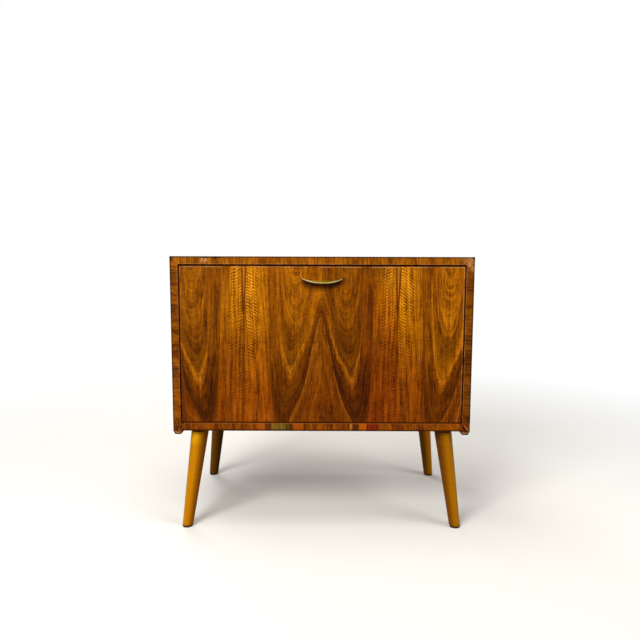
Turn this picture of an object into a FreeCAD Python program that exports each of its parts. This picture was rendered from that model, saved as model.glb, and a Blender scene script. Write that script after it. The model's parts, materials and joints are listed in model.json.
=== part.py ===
import FreeCAD, Part

# Cellarette: a low veneered drinks cabinet on four splayed legs. Its front is an inset flap that
# swings down on pivot hinges at its bottom edge and is held level by two sliding-rod stays.
#
# Frame: +Z up, the front faces -Y, +X to the right. The origin lies on the floor, in the middle
# of the width and of the depth, handle included. Millimetres and degrees.

import os
import re

import Sketcher
from FreeCAD import Rotation, Vector

# Driving dimensions: alias, value, meaning.
SIZES = (
    ("case_width", 735, "outside width of the case"),
    ("case_height", 430, "underside of the bottom board to the top surface"),
    ("case_depth", 372, "front edges to rear edges of the case"),
    ("leg_height", 250, "floor to the underside of the bottom board"),
    ("board", 19, "thickness of a veneered case board"),
    ("veneer", 0.8, "thickness of the face veneers"),
    ("edge_band", 1, "thickness of the crossbanded front edge strips"),
    ("rail_width", 26, "width of a bottom corner rail"),
    ("rail_drop", 9, "how far a corner rail reaches below the bottom board"),
    ("rail_chamfer_width", 4.7, "width of the rail's outer lower chamfer"),
    ("rail_chamfer_height", 8.5, "height of the rail's outer lower chamfer"),
    ("rail_slope", 7, "width of the rail's inner lower slope"),
    ("rebate_lip", 9, "wood left outside the rebate of the back panel"),
    ("back_thickness", 6, "thickness of the back panel and depth of its rebate"),
    ("back_clearance", 0.3, "gap round the back panel in its rebate"),
    ("back_screw_inset", 5, "back panel edge to the line of its screws"),
    ("back_screw_corner", 60, "rebate corner to the nearest back screw"),
    ("dowel_radius", 4, "radius of the case dowels"),
    ("dowel_length", 24, "length of the case dowels"),
    ("dowel_first", 90, "front plane to the first dowel"),
    ("dowel_pitch", 48, "distance between neighbouring dowels, level and upright by turns"),
    ("tongue_width", 16, "width of the loose tongues in the top mitres"),
    ("tongue_thickness", 4, "thickness of the loose tongues"),
    ("tongue_centre", 7, "inner corner to the middle of a tongue, along X and along Z"),
    ("tongue_end", 15, "distance of a tongue's ends from the ends of its mitre"),
    ("flap_thickness", 19, "thickness of the flap with both veneers"),
    ("flap_recess", 1, "how far the flap's face lies behind the case's front plane"),
    ("flap_side_gap", 2.3, "gap between the flap and each side"),
    ("flap_top_gap", 3.2, "gap above the flap"),
    ("flap_bottom_gap", 1.2, "gap below the flap"),
    ("lipping", 6, "width of the solid lippings round the flap's core"),
    ("pin_radius", 2, "radius of the hinge pins"),
    ("pin_reach", 4, "how far a hinge pin reaches behind the flap plate"),
    ("running_fit", 0.05, "radial clearance of pins and studs in their bores"),
    ("plate_thickness", 2, "thickness of the pivot plates"),
    ("plate_radius", 4, "half width of the pivot plates"),
    ("plate_cover", 0.2, "wood between the face veneer and the pivot plates"),
    ("plate_length", 52, "hinge axis to the far end of the pivot plates"),
    ("plate_screw_first", 18, "hinge axis to the lower screw of a pivot plate"),
    ("plate_screw_pitch", 24, "distance between the screws of a pivot plate"),
    ("screw_radius", 1.3, "radius of the small wood screws"),
    ("screw_head_radius", 2.6, "head radius of the small wood screws"),
    ("screw_head_height", 1.4, "height of the countersunk head of the small wood screws"),
    ("screw_length", 14, "length of the small wood screws"),
    ("screw_clearance", 0.1, "gap between a screw and its hole"),
    ("handle_width", 97, "tip to tip length of the handle"),
    ("handle_reach", 17, "how far the handle's bow stands off the flap"),
    ("handle_strip", 3, "thickness of the handle's strip"),
    ("handle_tip_height", 1.5, "height of the handle's strip at its tips"),
    ("handle_lower_sag", 10.5, "sag of the handle's lower edge"),
    ("handle_upper_sag", 3, "sag of the handle's upper edge"),
    ("handle_drop", 31.5, "top edge of the flap to the handle's tips"),
    ("post_spacing", 64, "distance between the handle's two posts"),
    ("post_radius", 2.7, "radius of the handle's posts"),
    ("post_drop", 3.3, "handle tips to the middle of the posts"),
    ("handle_screw_radius", 1.5, "radius of the handle screws"),
    ("handle_screw_grip", 5, "length of a handle screw in its post"),
    ("handle_screw_head_radius", 3.5, "head radius of the handle screws"),
    ("handle_screw_head_height", 2.2, "head height of the handle screws"),
    ("stay_room", 12, "depth of the case less twice the stay's radius"),
    ("stay_angle", 60, "angle above level at which the stay's guide lies from the hinge axis"),
    ("stay_standoff", 12, "flap's inner face to the rod's pivot"),
    ("stay_inset", 14, "side's inner face to the middle of the rod"),
    ("rod_radius", 3, "radius of the stay rod"),
    ("rod_fit", 0.3, "radial clearance of the rod in its guide"),
    ("rod_eye_radius", 6.5, "radius of the rod's eye"),
    ("rod_eye_width", 5, "width of the rod's eye"),
    ("rod_stop_radius", 5, "radius of the rod's end stop"),
    ("rod_stop_length", 6, "length of the rod's end stop"),
    ("guide_radius", 9, "radius of the swivel guide"),
    ("guide_wall", 2.3, "guide's inner face beyond the rod hole"),
    ("stud_radius", 4, "radius of the stud that carries the guide"),
    ("stud_length", 6, "length of the stud that carries the guide"),
    ("bracket_thickness", 3, "thickness of the stay's brackets"),
    ("bracket_radius", 9, "half width of the bracket on the side"),
    ("bracket_length", 50, "length of the bracket on the side"),
    ("bracket_pitch", 34, "distance between the screws of the bracket on the side"),
    ("foot_length", 44, "length of the stay's foot plate on the flap"),
    ("foot_width", 16, "width of the stay's foot plate on the flap"),
    ("foot_pitch", 30, "distance between the screws of the foot plate"),
    ("ear_width", 13, "width of the ear on the foot plate"),
    ("ear_offset", 4, "side's inner face to the ear"),
    ("eye_stud_radius", 2.5, "radius of the stud in the rod's eye"),
    ("eye_head_radius", 4, "head radius of the stud in the rod's eye"),
    ("eye_head_height", 1.5, "head height of the stud in the rod's eye"),
    ("working_gap", 0.3, "gap between faces that slide or close on each other"),
    ("divider_thickness", 16, "thickness of the vertical divider"),
    ("divider_setback", 52, "front plane to the divider's front edge"),
    ("shelf_height", 225, "deck to the underside of the glass shelf"),
    ("shelf_thickness", 6, "thickness of the glass shelf"),
    ("shelf_gap", 1, "gap at each end of the glass shelf"),
    ("shelf_setback", 92, "front plane to the front edge of the glass shelf"),
    ("shelf_back_gap", 29, "rear edge of the glass shelf to the back panel"),
    ("shelf_pin_radius", 2.5, "radius of the shelf pins"),
    ("shelf_pin_depth", 8, "depth of a shelf pin in the wood"),
    ("shelf_pin_reach", 9, "how far a shelf pin stands out of the wood"),
    ("shelf_pin_inset", 35, "shelf edge to the line of the pins"),
    ("catch_width", 46, "width of the catch's flange"),
    ("catch_flange", 4, "thickness of the catch's flange"),
    ("catch_block", 26, "width of the catch's block"),
    ("catch_depth", 15, "depth of the catch housing"),
    ("catch_height", 16, "height of the catch housing"),
    ("catch_screw_pitch", 35, "distance between the screws of the catch housing"),
    ("catch_lip", 0.7, "how far the magnet stands out of its housing"),
    ("magnet_width", 20, "width of the magnet"),
    ("magnet_height", 7, "height of the magnet"),
    ("magnet_depth", 13, "depth of the magnet"),
    ("strike_thickness", 1.5, "thickness of the strike plate"),
    ("strike_width", 36, "width of the strike plate"),
    ("strike_height", 8, "height of the strike plate"),
    ("strike_screw_pitch", 27, "distance between the screws of the strike plate"),
    ("leg_plate_gap", 3.5, "leg plate to the corner rail beside it"),
    ("leg_inset_y", 41, "front or rear of the case to a leg's axis, under the bottom board"),
    ("leg_splay", 31, "how far a foot lies out from its leg's top, along X and along Y"),
    ("leg_top_radius", 22, "radius of a leg under the bottom board"),
    ("leg_foot_radius", 13.2, "radius of a leg at the floor"),
    ("leg_plate_width", 60, "side of the square leg plates"),
    ("leg_plate_thickness", 3, "thickness of the leg plates"),
    ("leg_screw_pitch", 46, "distance between the screws of a leg plate"),
    ("leg_screw_radius", 2, "radius of the leg plate screws"),
    ("leg_screw_head_radius", 3.8, "head radius of the leg plate screws"),
    ("leg_screw_head_height", 2, "height of the countersunk head of the leg plate screws"),
    ("leg_screw_length", 16, "length of the leg plate screws"),
    ("boss_radius", 7, "radius of the leg plate's threaded boss"),
    ("boss_height", 11, "length of the boss along the leg's axis"),
    ("boss_recess", 0.5, "gap round the boss in the bottom board"),
    ("bolt_radius", 4, "radius of the hanger bolts"),
    ("bolt_depth", 42, "length of a hanger bolt inside its leg"),
    ("glide_radius", 12.5, "radius of the foot glides"),
    ("glide_thickness", 3, "thickness of the foot glides"),
    ("glide_pin_radius", 1, "radius of a glide's nail"),
    ("glide_pin_length", 12, "length of a glide's nail"),
)


def sagged(chord, sag):
    """Formula for the radius of an arc, from its chord and its sag."""
    return f"({chord} * {chord} / 4 + {sag} * {sag}) / (2 * {sag})"


# Places that several pieces share, each worked out from the sizes above.
PLACES = {
    "front_y": "(handle_reach - case_depth) / 2",
    "rear_y": "front_y + case_depth",
    "side_x": "case_width / 2",
    "wall_x": "side_x - board",
    "rail_x": "side_x - rail_width",
    "under_z": "leg_height",
    "deck_z": "under_z + board",
    "top_z": "under_z + case_height",
    "ceiling_z": "top_z - board",
    "flap_face_y": "front_y + flap_recess",
    "flap_back_y": "flap_face_y + flap_thickness",
    "flap_x": "wall_x - flap_side_gap",
    "flap_low_z": "deck_z + flap_bottom_gap",
    "flap_high_z": "ceiling_z - flap_top_gap",
    "flap_height": "flap_high_z - flap_low_z",
    "pivot_inset": "veneer + plate_cover + plate_radius",
    "pivot_y": "flap_face_y + pivot_inset",
    "pivot_z": "flap_low_z + pivot_inset",
    "handle_z": "flap_high_z - handle_drop",
    "stay_radius": "(case_depth - stay_room) / 2",
    "guide_x": "wall_x - stay_inset",
    "guide_y": "pivot_y + stay_radius * cos(stay_angle)",
    "guide_z": "pivot_z + stay_radius * sin(stay_angle)",
    "eye_y": "flap_back_y + stay_standoff",
    "eye_rise": "sqrt(stay_radius * stay_radius - (eye_y - pivot_y) * (eye_y - pivot_y))",
    "eye_z": "pivot_z + eye_rise",
    "rod_tilt": "atan((guide_z - eye_z) / (guide_y - eye_y))",
    "open_turn": "atan(eye_rise / (eye_y - pivot_y)) + 90 deg - stay_angle * 1 deg",
    "rod_open_reach": "2 * stay_radius * sin(open_turn / 2) + guide_radius + working_gap",
    "ear_x": "wall_x - ear_offset - bracket_thickness",
    "foot_x": "wall_x - ear_offset - foot_width",
    "shelf_z": "deck_z + shelf_height",
    "shelf_front_y": "front_y + shelf_setback",
    "shelf_rear_y": "rear_y - back_thickness - shelf_back_gap",
    "magnet_y": "flap_back_y + strike_thickness + working_gap",
    "catch_y": "magnet_y + catch_lip",
    "magnet_z": "ceiling_z - catch_height / 2",
    "bow_radius": sagged("handle_width", "handle_reach"),
    "lower_radius": sagged("handle_width", "handle_lower_sag"),
    "upper_radius": sagged("handle_width", "handle_upper_sag"),
    "bow_middle": "bow_radius - handle_strip / 2",
    "post_z": "handle_z - post_drop",
    "post_length": (
        "sqrt(bow_middle * bow_middle - post_spacing * post_spacing / 4)"
        " - bow_radius + handle_reach"
    ),
    "leg_x": "rail_x - leg_plate_gap - leg_plate_width / 2",
    "leg_front_y": "front_y + leg_inset_y",
    "leg_rear_y": "rear_y - leg_inset_y",
    "leg_lean": "atan(leg_splay * sqrt(2) / leg_height)",
    "leg_length": "leg_height / cos(leg_lean)",
}

RIGHT, BACK, UP = Vector(1, 0, 0), Vector(0, 1, 0), Vector(0, 0, 1)
LEFT, FRONT, DOWN = -RIGHT, -BACK, -UP
ALIASES = {alias for alias, _, _ in SIZES}

doc = FreeCAD.newDocument("cellarette")
sheet = doc.addObject("Spreadsheet::Sheet", "dims")
nodes = []


def fill_sheet():
    """Writes the driving dimensions to the sheet, one row each."""
    for row, (alias, size, meaning) in enumerate(SIZES, start=1):
        sheet.set(f"A{row}", meaning)
        sheet.set(f"B{row}", str(size))
        sheet.setAlias(f"B{row}", alias)
    doc.recompute()


def formula(text):
    """Turns sizes and places named in `text` into an expression on the sheet's cells."""

    def swap(match):
        word = match[0]
        if word in PLACES:
            return f"({formula(PLACES[word])})"
        return f"dims.{word}" if word in ALIASES else word

    return re.sub(r"[a-z]\w*", swap, text)


def value(text):
    """The number that a formula gives now."""
    return float(sheet.evalExpression(formula(text)))


def bind(item, prop, text):
    item.setExpression(prop, formula(text))


def place(item, at, toward=None):
    """Puts an object at three formulas, with its own +Z turned toward a direction."""
    if toward is not None:
        item.Placement = FreeCAD.Placement(Vector(), Rotation(UP, toward))
    for axis, text in zip("xyz", at):
        bind(item, f"Placement.Base.{axis}", text)
    return item


def tilt(item, at, axis, angle):
    """Puts an object at three formulas, turned about an axis by an angle."""
    origin = "; ".join(formula(text) for text in at)
    turn = "; ".join(str(number) for number in axis)
    item.setExpression(
        "Placement",
        f"create(<<placement>>; create(<<vector>>; {origin}); "
        f"create(<<rotation>>; create(<<vector>>; {turn}); {formula(angle)}))",
    )
    return item


def node(label, item):
    """Names a finished sub-part."""
    item.Label = label
    nodes.append(item)
    return item


def box(name, size, corner):
    """A block with its lowest corner at `corner`."""
    block = doc.addObject("Part::Box", name)
    for prop, text in zip(("Length", "Width", "Height"), size):
        bind(block, prop, text)
    return place(block, corner)


def across(name, half_width, size, y, z):
    """A block that spans the case evenly, `size` deep and high, from y and z."""
    return box(name, (f"2 * ({half_width})", *size), (f"-({half_width})", y, z))


def rod(name, radius, length, at, toward=UP):
    """A round bar from `at` toward a direction."""
    bar = doc.addObject("Part::Cylinder", name)
    bind(bar, "Radius", radius)
    bind(bar, "Height", length)
    return place(bar, at, toward)


def fuse(name, pieces):
    joined = doc.addObject("Part::MultiFuse", name)
    joined.Shapes = pieces
    return joined


def cut(name, base, tools):
    """Takes each tool away from a base in turn."""
    for index, tool in enumerate(tools):
        step = doc.addObject("Part::Cut", f"{name}_cut{index}")
        step.Base = base
        step.Tool = tool
        base = step
    return base


def common(name, first, second):
    overlap = doc.addObject("Part::Common", name)
    overlap.Base = first
    overlap.Tool = second
    return overlap


def mirror(name, source):
    """The left-hand twin of a right-hand piece."""
    twin = doc.addObject("Part::Mirroring", name)
    twin.Source = source
    twin.Normal = RIGHT
    return twin


def copies(name, source, places):
    """Copies of a piece, each at three formulas and turned toward a direction."""
    links = []
    for index, (at, toward) in enumerate(places):
        link = doc.addObject("App::Link", f"{name}_{index}")
        link.LinkedObject = source
        links.append(place(link, at, toward))
    group = doc.addObject("Part::Compound", name)
    group.Links = links
    return group


def pin_corner(outline, index, kind, axis, text):
    """Holds one coordinate of a sketch corner at a formula, or on an axis where it is 0."""
    if text == "0":
        outline.addConstraint(Sketcher.Constraint("PointOnObject", index, 1, axis))
        return
    constraint = Sketcher.Constraint(kind, -1, 1, index, 1, value(text))
    number = outline.addConstraint(constraint)
    outline.setExpression(f"Constraints[{number}]", formula(text))


def sketch(body, plane_role, corners):
    """A closed outline on one of the body's origin planes."""
    outline = body.newObject("Sketcher::SketchObject", f"{body.Name}_outline")
    planes = body.Origin.OriginFeatures
    plane = next(item for item in planes if item.Role == plane_role)
    outline.AttachmentSupport = [(plane, "")]
    outline.MapMode = "FlatFace"
    points = [Vector(value(across), value(along), 0) for across, along in corners]
    count = len(points)
    for index, start in enumerate(points):
        outline.addGeometry(Part.LineSegment(start, points[(index + 1) % count]), False)
    for index in range(count):
        joint = Sketcher.Constraint("Coincident", index, 2, (index + 1) % count, 1)
        outline.addConstraint(joint)
    for index, (across, along) in enumerate(corners):
        pin_corner(outline, index, "DistanceX", -2, across)
        pin_corner(outline, index, "DistanceY", -1, along)
    return outline


def section(name, corners, depth, at):
    """A body whose X-Z outline runs back along +Y, placed at three formulas."""
    body = doc.addObject("PartDesign::Body", name)
    pad = body.newObject("PartDesign::Pad", f"{name}_pad")
    pad.Profile = sketch(body, "XZ_Plane", corners)
    pad.Reversed = True
    bind(pad, "Length", depth)
    body.Tip = pad
    return place(body, at)


def turned(name, corners):
    """A body turned about its own Z axis from an outline of radius and height."""
    body = doc.addObject("PartDesign::Body", name)
    outline = sketch(body, "XZ_Plane", corners)
    turn = body.newObject("PartDesign::Revolution", f"{name}_turn")
    turn.Profile = outline
    turn.ReferenceAxis = (outline, ["V_Axis"])
    turn.Angle = 360
    body.Tip = turn
    return body


def screw_outline(radius, head_radius, head_height, length, gap):
    """Countersunk screw: flat head at 0, tip at its length, grown by a gap for its hole."""
    shank, head = f"{radius} + {gap}", f"{head_radius} + {gap}"
    corners = [("0", "0"), (head, "0"), (shank, head_height)]
    return corners + [(shank, f"{length} + {gap}"), ("0", f"{length} + {gap}")]


def screw_pair(name, sizes):
    """A screw and the tool that cuts its hole, both pointing along +Z."""
    screw = turned(name, screw_outline(*sizes, "0"))
    hole = turned(f"{name}_hole", screw_outline(*sizes, "screw_clearance"))
    return screw, hole


def screws_at(label, pair, places):
    """A node of screws, and the tool that cuts their holes."""
    screw, hole = pair
    node(label, copies(label, screw, places))
    return copies(f"{label}_holes", hole, places)


def pegs_at(label, radius, length, places):
    """A node of round pegs, and the tool that cuts their holes."""
    peg = rod(label + "_peg", radius, length, ("0", "0", "0"))
    hole = rod(label + "_hole", f"{radius} + screw_clearance", length, ("0", "0", "0"))
    node(label, copies(label, peg, places))
    return copies(f"{label}_holes", hole, places)


def paired(spots, toward):
    """Right-hand spots turned toward a direction, and their left-hand twins."""
    away = Vector(-toward.x, toward.y, toward.z)
    twins = [((f"-({x})", y, z), away) for x, y, z in spots]
    return [(spot, toward) for spot in spots] + twins


def both(name, right_piece):
    """Names a right-hand piece and its left-hand twin."""
    node(f"right_{name}", right_piece)
    node(f"left_{name}", mirror(f"left_{name}", right_piece))


# ---------------------------------------------------------------- joints of the case


def make_dowels():
    """Level dowels between rails and bottom, upright dowels between rails and sides."""
    offsets = [f"front_y + dowel_first + {step} * dowel_pitch" for step in range(5)]
    level_x = "rail_x - dowel_length / 2"
    level = [(level_x, y, "under_z + board / 2") for y in offsets[::2]]
    upright = [("side_x - board / 2", y, "deck_z - dowel_length / 2") for y in offsets[1::2]]
    places = paired(level, RIGHT) + paired(upright, UP)
    return pegs_at("case_dowels", "dowel_radius", "dowel_length", places)


def make_tongues():
    """A loose tongue in each top mitre, square to the mitre."""
    tongue = box(
        "right_tongue",
        ("tongue_width", "case_depth - edge_band - 2 * tongue_end", "tongue_thickness"),
        (
            "wall_x + tongue_centre - (tongue_width + tongue_thickness) / sqrt(8)",
            "front_y + edge_band + tongue_end",
            "ceiling_z + tongue_centre + (tongue_width - tongue_thickness) / sqrt(8)",
        ),
    )
    tongue.Placement.Rotation = Rotation(BACK, 45)
    group = doc.addObject("Part::Compound", "tongue_pair")
    group.Links = [tongue, mirror("left_tongue", tongue)]
    return node("mitre_tongues", group)


def make_back(screw):
    """Back panel in its rebate, and the tools for the rebate and the screws."""
    lip = "rebate_lip + back_clearance"
    low, high = "under_z + rebate_lip", "top_z - rebate_lip"
    half = "side_x - rebate_lip"
    screw_x = f"{half} - back_screw_inset"
    rows = (f"{low} + back_screw_inset", f"{high} - back_screw_inset")
    levels = (f"{low} + back_screw_corner", f"{high} - back_screw_corner")
    columns = (f"{half} - back_screw_corner", f"({half} - back_screw_corner) / 3")
    spots = [(screw_x, "rear_y", z) for z in levels]
    spots += [(x, "rear_y", z) for z in rows for x in columns]
    holes = screws_at("back_screws", screw, paired(spots, FRONT))
    panel = across(
        "back_board",
        f"side_x - ({lip})",
        ("back_thickness", f"case_height - 2 * ({lip})"),
        "rear_y - back_thickness",
        f"under_z + {lip}",
    )
    node("back_panel", cut("back_panel", panel, [holes]))
    rebate = across(
        "rebate",
        half,
        ("2 * back_thickness", "case_height - 2 * rebate_lip"),
        "rear_y - back_thickness",
        low,
    )
    return rebate, holes


# ---------------------------------------------------------------- legs


def leg_bar(name, foot, low, high, radius, top_radius=None):
    """A round bar along a leg's axis, from `low` to `high` above the floor point."""
    corners = [("0", low), (radius, low), (top_radius or radius, high), ("0", high)]
    spot, axis = foot
    return tilt(turned(name, corners), spot, axis, "leg_lean")


def make_leg(end, foot, slab, holes):
    """One right-hand leg with its bolt, glide and plate, and the tools for the bottom board."""
    slope = "(leg_top_radius - leg_foot_radius) / leg_length * leg_top_radius"
    blank = leg_bar(
        f"{end}_leg_blank",
        foot,
        "-leg_top_radius",
        "leg_length + leg_top_radius",
        f"leg_foot_radius - {slope}",
        f"leg_top_radius + {slope}",
    )
    bolt_low, bolt_high = "leg_length - bolt_depth", "leg_length + boss_height"
    bolt = leg_bar(f"{end}_bolt", foot, bolt_low, bolt_high, "bolt_radius")
    bore = leg_bar(
        f"{end}_bore",
        foot,
        f"{bolt_low} - working_gap",
        f"{bolt_high} + working_gap",
        "bolt_radius + running_fit",
    )
    (x, y, _), _ = foot
    glide_pad = [("0", "0"), ("glide_radius", "0"), ("glide_radius", "glide_thickness")]
    glide_nail = [
        ("glide_pin_radius", "glide_thickness"),
        ("glide_pin_radius", "glide_thickness + glide_pin_length"),
        ("0", "glide_thickness + glide_pin_length"),
    ]
    glide = place(turned(f"{end}_glide", glide_pad + glide_nail), (x, y, "0"))
    nail_hole = rod(
        f"{end}_nail_hole",
        "glide_pin_radius + running_fit",
        "glide_thickness + glide_pin_length + working_gap",
        (x, y, "0"),
    )
    trimmed = common(f"{end}_leg_trimmed", blank, slab)
    both(f"{end}_leg", cut(f"{end}_leg", trimmed, [bore, nail_hole]))

    leg_y = f"leg_{end}_y"
    plate = box(
        f"{end}_plate_blank",
        ("leg_plate_width", "leg_plate_width", "leg_plate_thickness"),
        (
            "leg_x - leg_plate_width / 2",
            f"{leg_y} - leg_plate_width / 2",
            "under_z - leg_plate_thickness",
        ),
    )
    boss_low = "leg_length - leg_plate_thickness / 2"
    boss = leg_bar(f"{end}_boss", foot, boss_low, bolt_high, "boss_radius")
    plate = cut(f"{end}_plate", fuse(f"{end}_plate_boss", [plate, boss]), [bore, holes])
    pocket = leg_bar(
        f"{end}_pocket",
        foot,
        boss_low,
        f"{bolt_high} + boss_recess",
        "boss_radius + boss_recess",
    )
    return plate, bolt, glide, pocket


def group_both(label, right_pieces):
    """One node of right-hand pieces and their left-hand twins."""
    group = doc.addObject("Part::Compound", label)
    twins = [mirror(f"left_{piece.Name}", piece) for piece in right_pieces]
    group.Links = right_pieces + twins
    return node(label, group)


def make_legs():
    """Four legs with plates, bolts, screws and glides, and the tools for the bottom board."""
    sizes = ("leg_screw_radius", "leg_screw_head_radius")
    sizes += ("leg_screw_head_height", "leg_screw_length")
    screw = screw_pair("leg_screw", sizes)
    half = "leg_screw_pitch / 2"
    spots = [
        (f"leg_x {side} {half}", f"leg_{end}_y {way} {half}", "under_z - leg_plate_thickness")
        for end in ("front", "rear")
        for side in "+-"
        for way in "+-"
    ]
    holes = screws_at("leg_plate_screws", screw, paired(spots, UP))
    slab = box(
        "leg_slab",
        (
            "case_width",
            "2 * case_depth",
            "leg_height - leg_plate_thickness - glide_thickness",
        ),
        ("0", "-case_depth", "glide_thickness"),
    )
    foot_x = "leg_x + leg_splay"
    feet = {
        "front": ((foot_x, "leg_front_y - leg_splay", "0"), (-1, -1, 0)),
        "rear": ((foot_x, "leg_rear_y + leg_splay", "0"), (1, -1, 0)),
    }
    made = [make_leg(end, foot, slab, holes) for end, foot in feet.items()]
    plates, bolts, glides, pockets = (list(pieces) for pieces in zip(*made))
    group_both("leg_plates", plates)
    group_both("leg_bolts", bolts)
    group_both("glides", glides)
    left_pockets = [mirror(f"left_{pocket.Name}", pocket) for pocket in pockets]
    return [holes] + pockets + left_pockets


# ---------------------------------------------------------------- hinges


def plate_outline(name, x):
    """A pivot plate without holes: straight, with a round lower end about the hinge axis."""
    arm = box(
        f"{name}_arm",
        ("plate_thickness", "2 * plate_radius", "plate_length"),
        (x, "pivot_y - plate_radius", "pivot_z"),
    )
    end = rod(f"{name}_end", "plate_radius", "plate_thickness", (x, "pivot_y", "pivot_z"), RIGHT)
    return fuse(f"{name}_blank", [arm, end])


def make_hinges(screw):
    """Pivot plates let into the sides and the flap's ends, with their pins and screws."""
    first = "pivot_z + plate_screw_first"
    levels = (first, f"{first} + plate_screw_pitch")
    case_spots = [("wall_x", "pivot_y", z) for z in levels]
    flap_spots = [("flap_x", "pivot_y", z) for z in levels]
    case_holes = screws_at("case_plate_screws", screw, paired(case_spots, RIGHT))
    flap_holes = screws_at("flap_plate_screws", screw, paired(flap_spots, LEFT))

    pin_x = "flap_x - plate_thickness - pin_reach"
    reach = "pin_reach + 2 * plate_thickness + flap_side_gap"
    bore = rod(
        "pin_bore",
        "pin_radius + running_fit",
        reach,
        (pin_x, "pivot_y", "pivot_z"),
        RIGHT,
    )
    pin = rod("right_pin", "pin_radius", reach, (pin_x, "pivot_y", "pivot_z"), RIGHT)
    group_both("hinge_pins", [pin])
    pin_room = rod(
        "pin_room",
        "pin_radius + working_gap",
        "pin_reach + working_gap",
        (f"{pin_x} - working_gap", "pivot_y", "pivot_z"),
        RIGHT,
    )
    case_plate = plate_outline("case_plate", "wall_x")
    flap_plate = plate_outline("flap_plate", "flap_x - plate_thickness")
    both("case_plate", cut("case_plate", case_plate, [bore, case_holes]))
    both("flap_plate", cut("flap_plate", flap_plate, [bore, flap_holes]))
    return [case_plate, case_holes], [flap_plate, pin_room, flap_holes]


# ---------------------------------------------------------------- stays


def make_stays(screw):
    """A sliding-rod stay at each side: bracket, swivel guide, rod and foot."""
    level = "bracket_pitch / 2"
    bracket_x = "wall_x - bracket_thickness"
    case_spots = [(bracket_x, "guide_y", f"guide_z {way} {level}") for way in "+-"]
    foot_spots = [
        ("foot_x + foot_width / 2", "flap_back_y + bracket_thickness", f"eye_z {way} foot_pitch / 2")
        for way in "+-"
    ]
    case_holes = screws_at("stay_bracket_screws", screw, paired(case_spots, RIGHT))
    flap_holes = screws_at("stay_foot_screws", screw, paired(foot_spots, FRONT))
    both("stay_bracket", cut("stay_bracket", stay_bracket(bracket_x), [case_holes]))
    both("stay_guide", stay_guide())
    both("stay_rod", stay_rod())
    both("stay_foot", cut("stay_foot", stay_foot(), [flap_holes]))
    return case_holes, flap_holes


def stay_bracket(bracket_x):
    """Plate on the side with the stud that carries the guide."""
    plate = box(
        "bracket_plate",
        ("bracket_thickness", "2 * bracket_radius", "bracket_length"),
        (bracket_x, "guide_y - bracket_radius", "guide_z - bracket_length / 2"),
    )
    stud_at = (bracket_x, "guide_y", "guide_z")
    stud = rod("bracket_stud", "stud_radius", "stud_length", stud_at, LEFT)
    return fuse("bracket_body", [plate, stud])


def stay_guide():
    """Swivel guide: a drum that turns on the stud, with a cross hole for the rod."""
    outer = "stay_inset - bracket_thickness - working_gap"
    drum = rod(
        "guide_drum",
        "guide_radius",
        f"{outer} + rod_radius + rod_fit + guide_wall",
        (outer, "0", "0"),
        LEFT,
    )
    socket = rod(
        "guide_socket",
        "stud_radius + running_fit",
        "stud_length",
        (outer, "0", "0"),
        LEFT,
    )
    passage = rod(
        "guide_passage",
        "rod_radius + rod_fit",
        "4 * guide_radius",
        ("0", "-2 * guide_radius", "0"),
        BACK,
    )
    guide = cut("guide", drum, [socket, passage])
    return tilt(guide, ("guide_x", "guide_y", "guide_z"), (1, 0, 0), "rod_tilt")


def stay_rod():
    """Rod with an eye on the flap's stud and an end stop behind the guide."""
    bar = rod("rod_bar", "rod_radius", "rod_open_reach + rod_stop_length", ("0", "0", "0"), BACK)
    stop = rod(
        "rod_stop",
        "rod_stop_radius",
        "rod_stop_length",
        ("0", "rod_open_reach", "0"),
        BACK,
    )
    half = "rod_eye_width / 2"
    eye = rod("rod_eye", "rod_eye_radius", "rod_eye_width", (f"-{half}", "0", "0"), RIGHT)
    bore = rod(
        "rod_eye_bore",
        "eye_stud_radius + running_fit",
        "4 * rod_radius",
        ("-2 * rod_radius", "0", "0"),
        RIGHT,
    )
    shaped = cut("rod_body", fuse("rod_parts", [bar, stop, eye]), [bore])
    return tilt(shaped, ("guide_x", "eye_y", "eye_z"), (1, 0, 0), "rod_tilt")


def stay_foot():
    """Foot plate on the flap with an ear and the shouldered stud in the rod's eye."""
    plate = box(
        "foot_plate",
        ("foot_width", "bracket_thickness", "foot_length"),
        ("foot_x", "flap_back_y", "eye_z - foot_length / 2"),
    )
    ear = box(
        "foot_ear",
        ("bracket_thickness", "stay_standoff", "ear_width"),
        ("ear_x", "flap_back_y", "eye_z - ear_width / 2"),
    )
    tip_at = ("ear_x", "eye_y", "eye_z")
    tip = rod("foot_ear_tip", "ear_width / 2", "bracket_thickness", tip_at, RIGHT)
    clear = "rod_radius + working_gap"
    shoulder_length = f"stay_inset - ({clear}) - ear_offset - bracket_thickness"
    shoulder = rod("foot_shoulder", "eye_head_radius", shoulder_length, tip_at, LEFT)
    stud_length = f"stay_inset + ({clear}) - ear_offset - bracket_thickness"
    stud = rod("foot_stud", "eye_stud_radius", stud_length, tip_at, LEFT)
    head_at = (f"guide_x - ({clear})", "eye_y", "eye_z")
    head = rod("foot_head", "eye_head_radius", "eye_head_height", head_at, LEFT)
    return fuse("foot_body", [plate, ear, tip, shoulder, stud, head])


# ---------------------------------------------------------------- catch, shelf, divider


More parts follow.
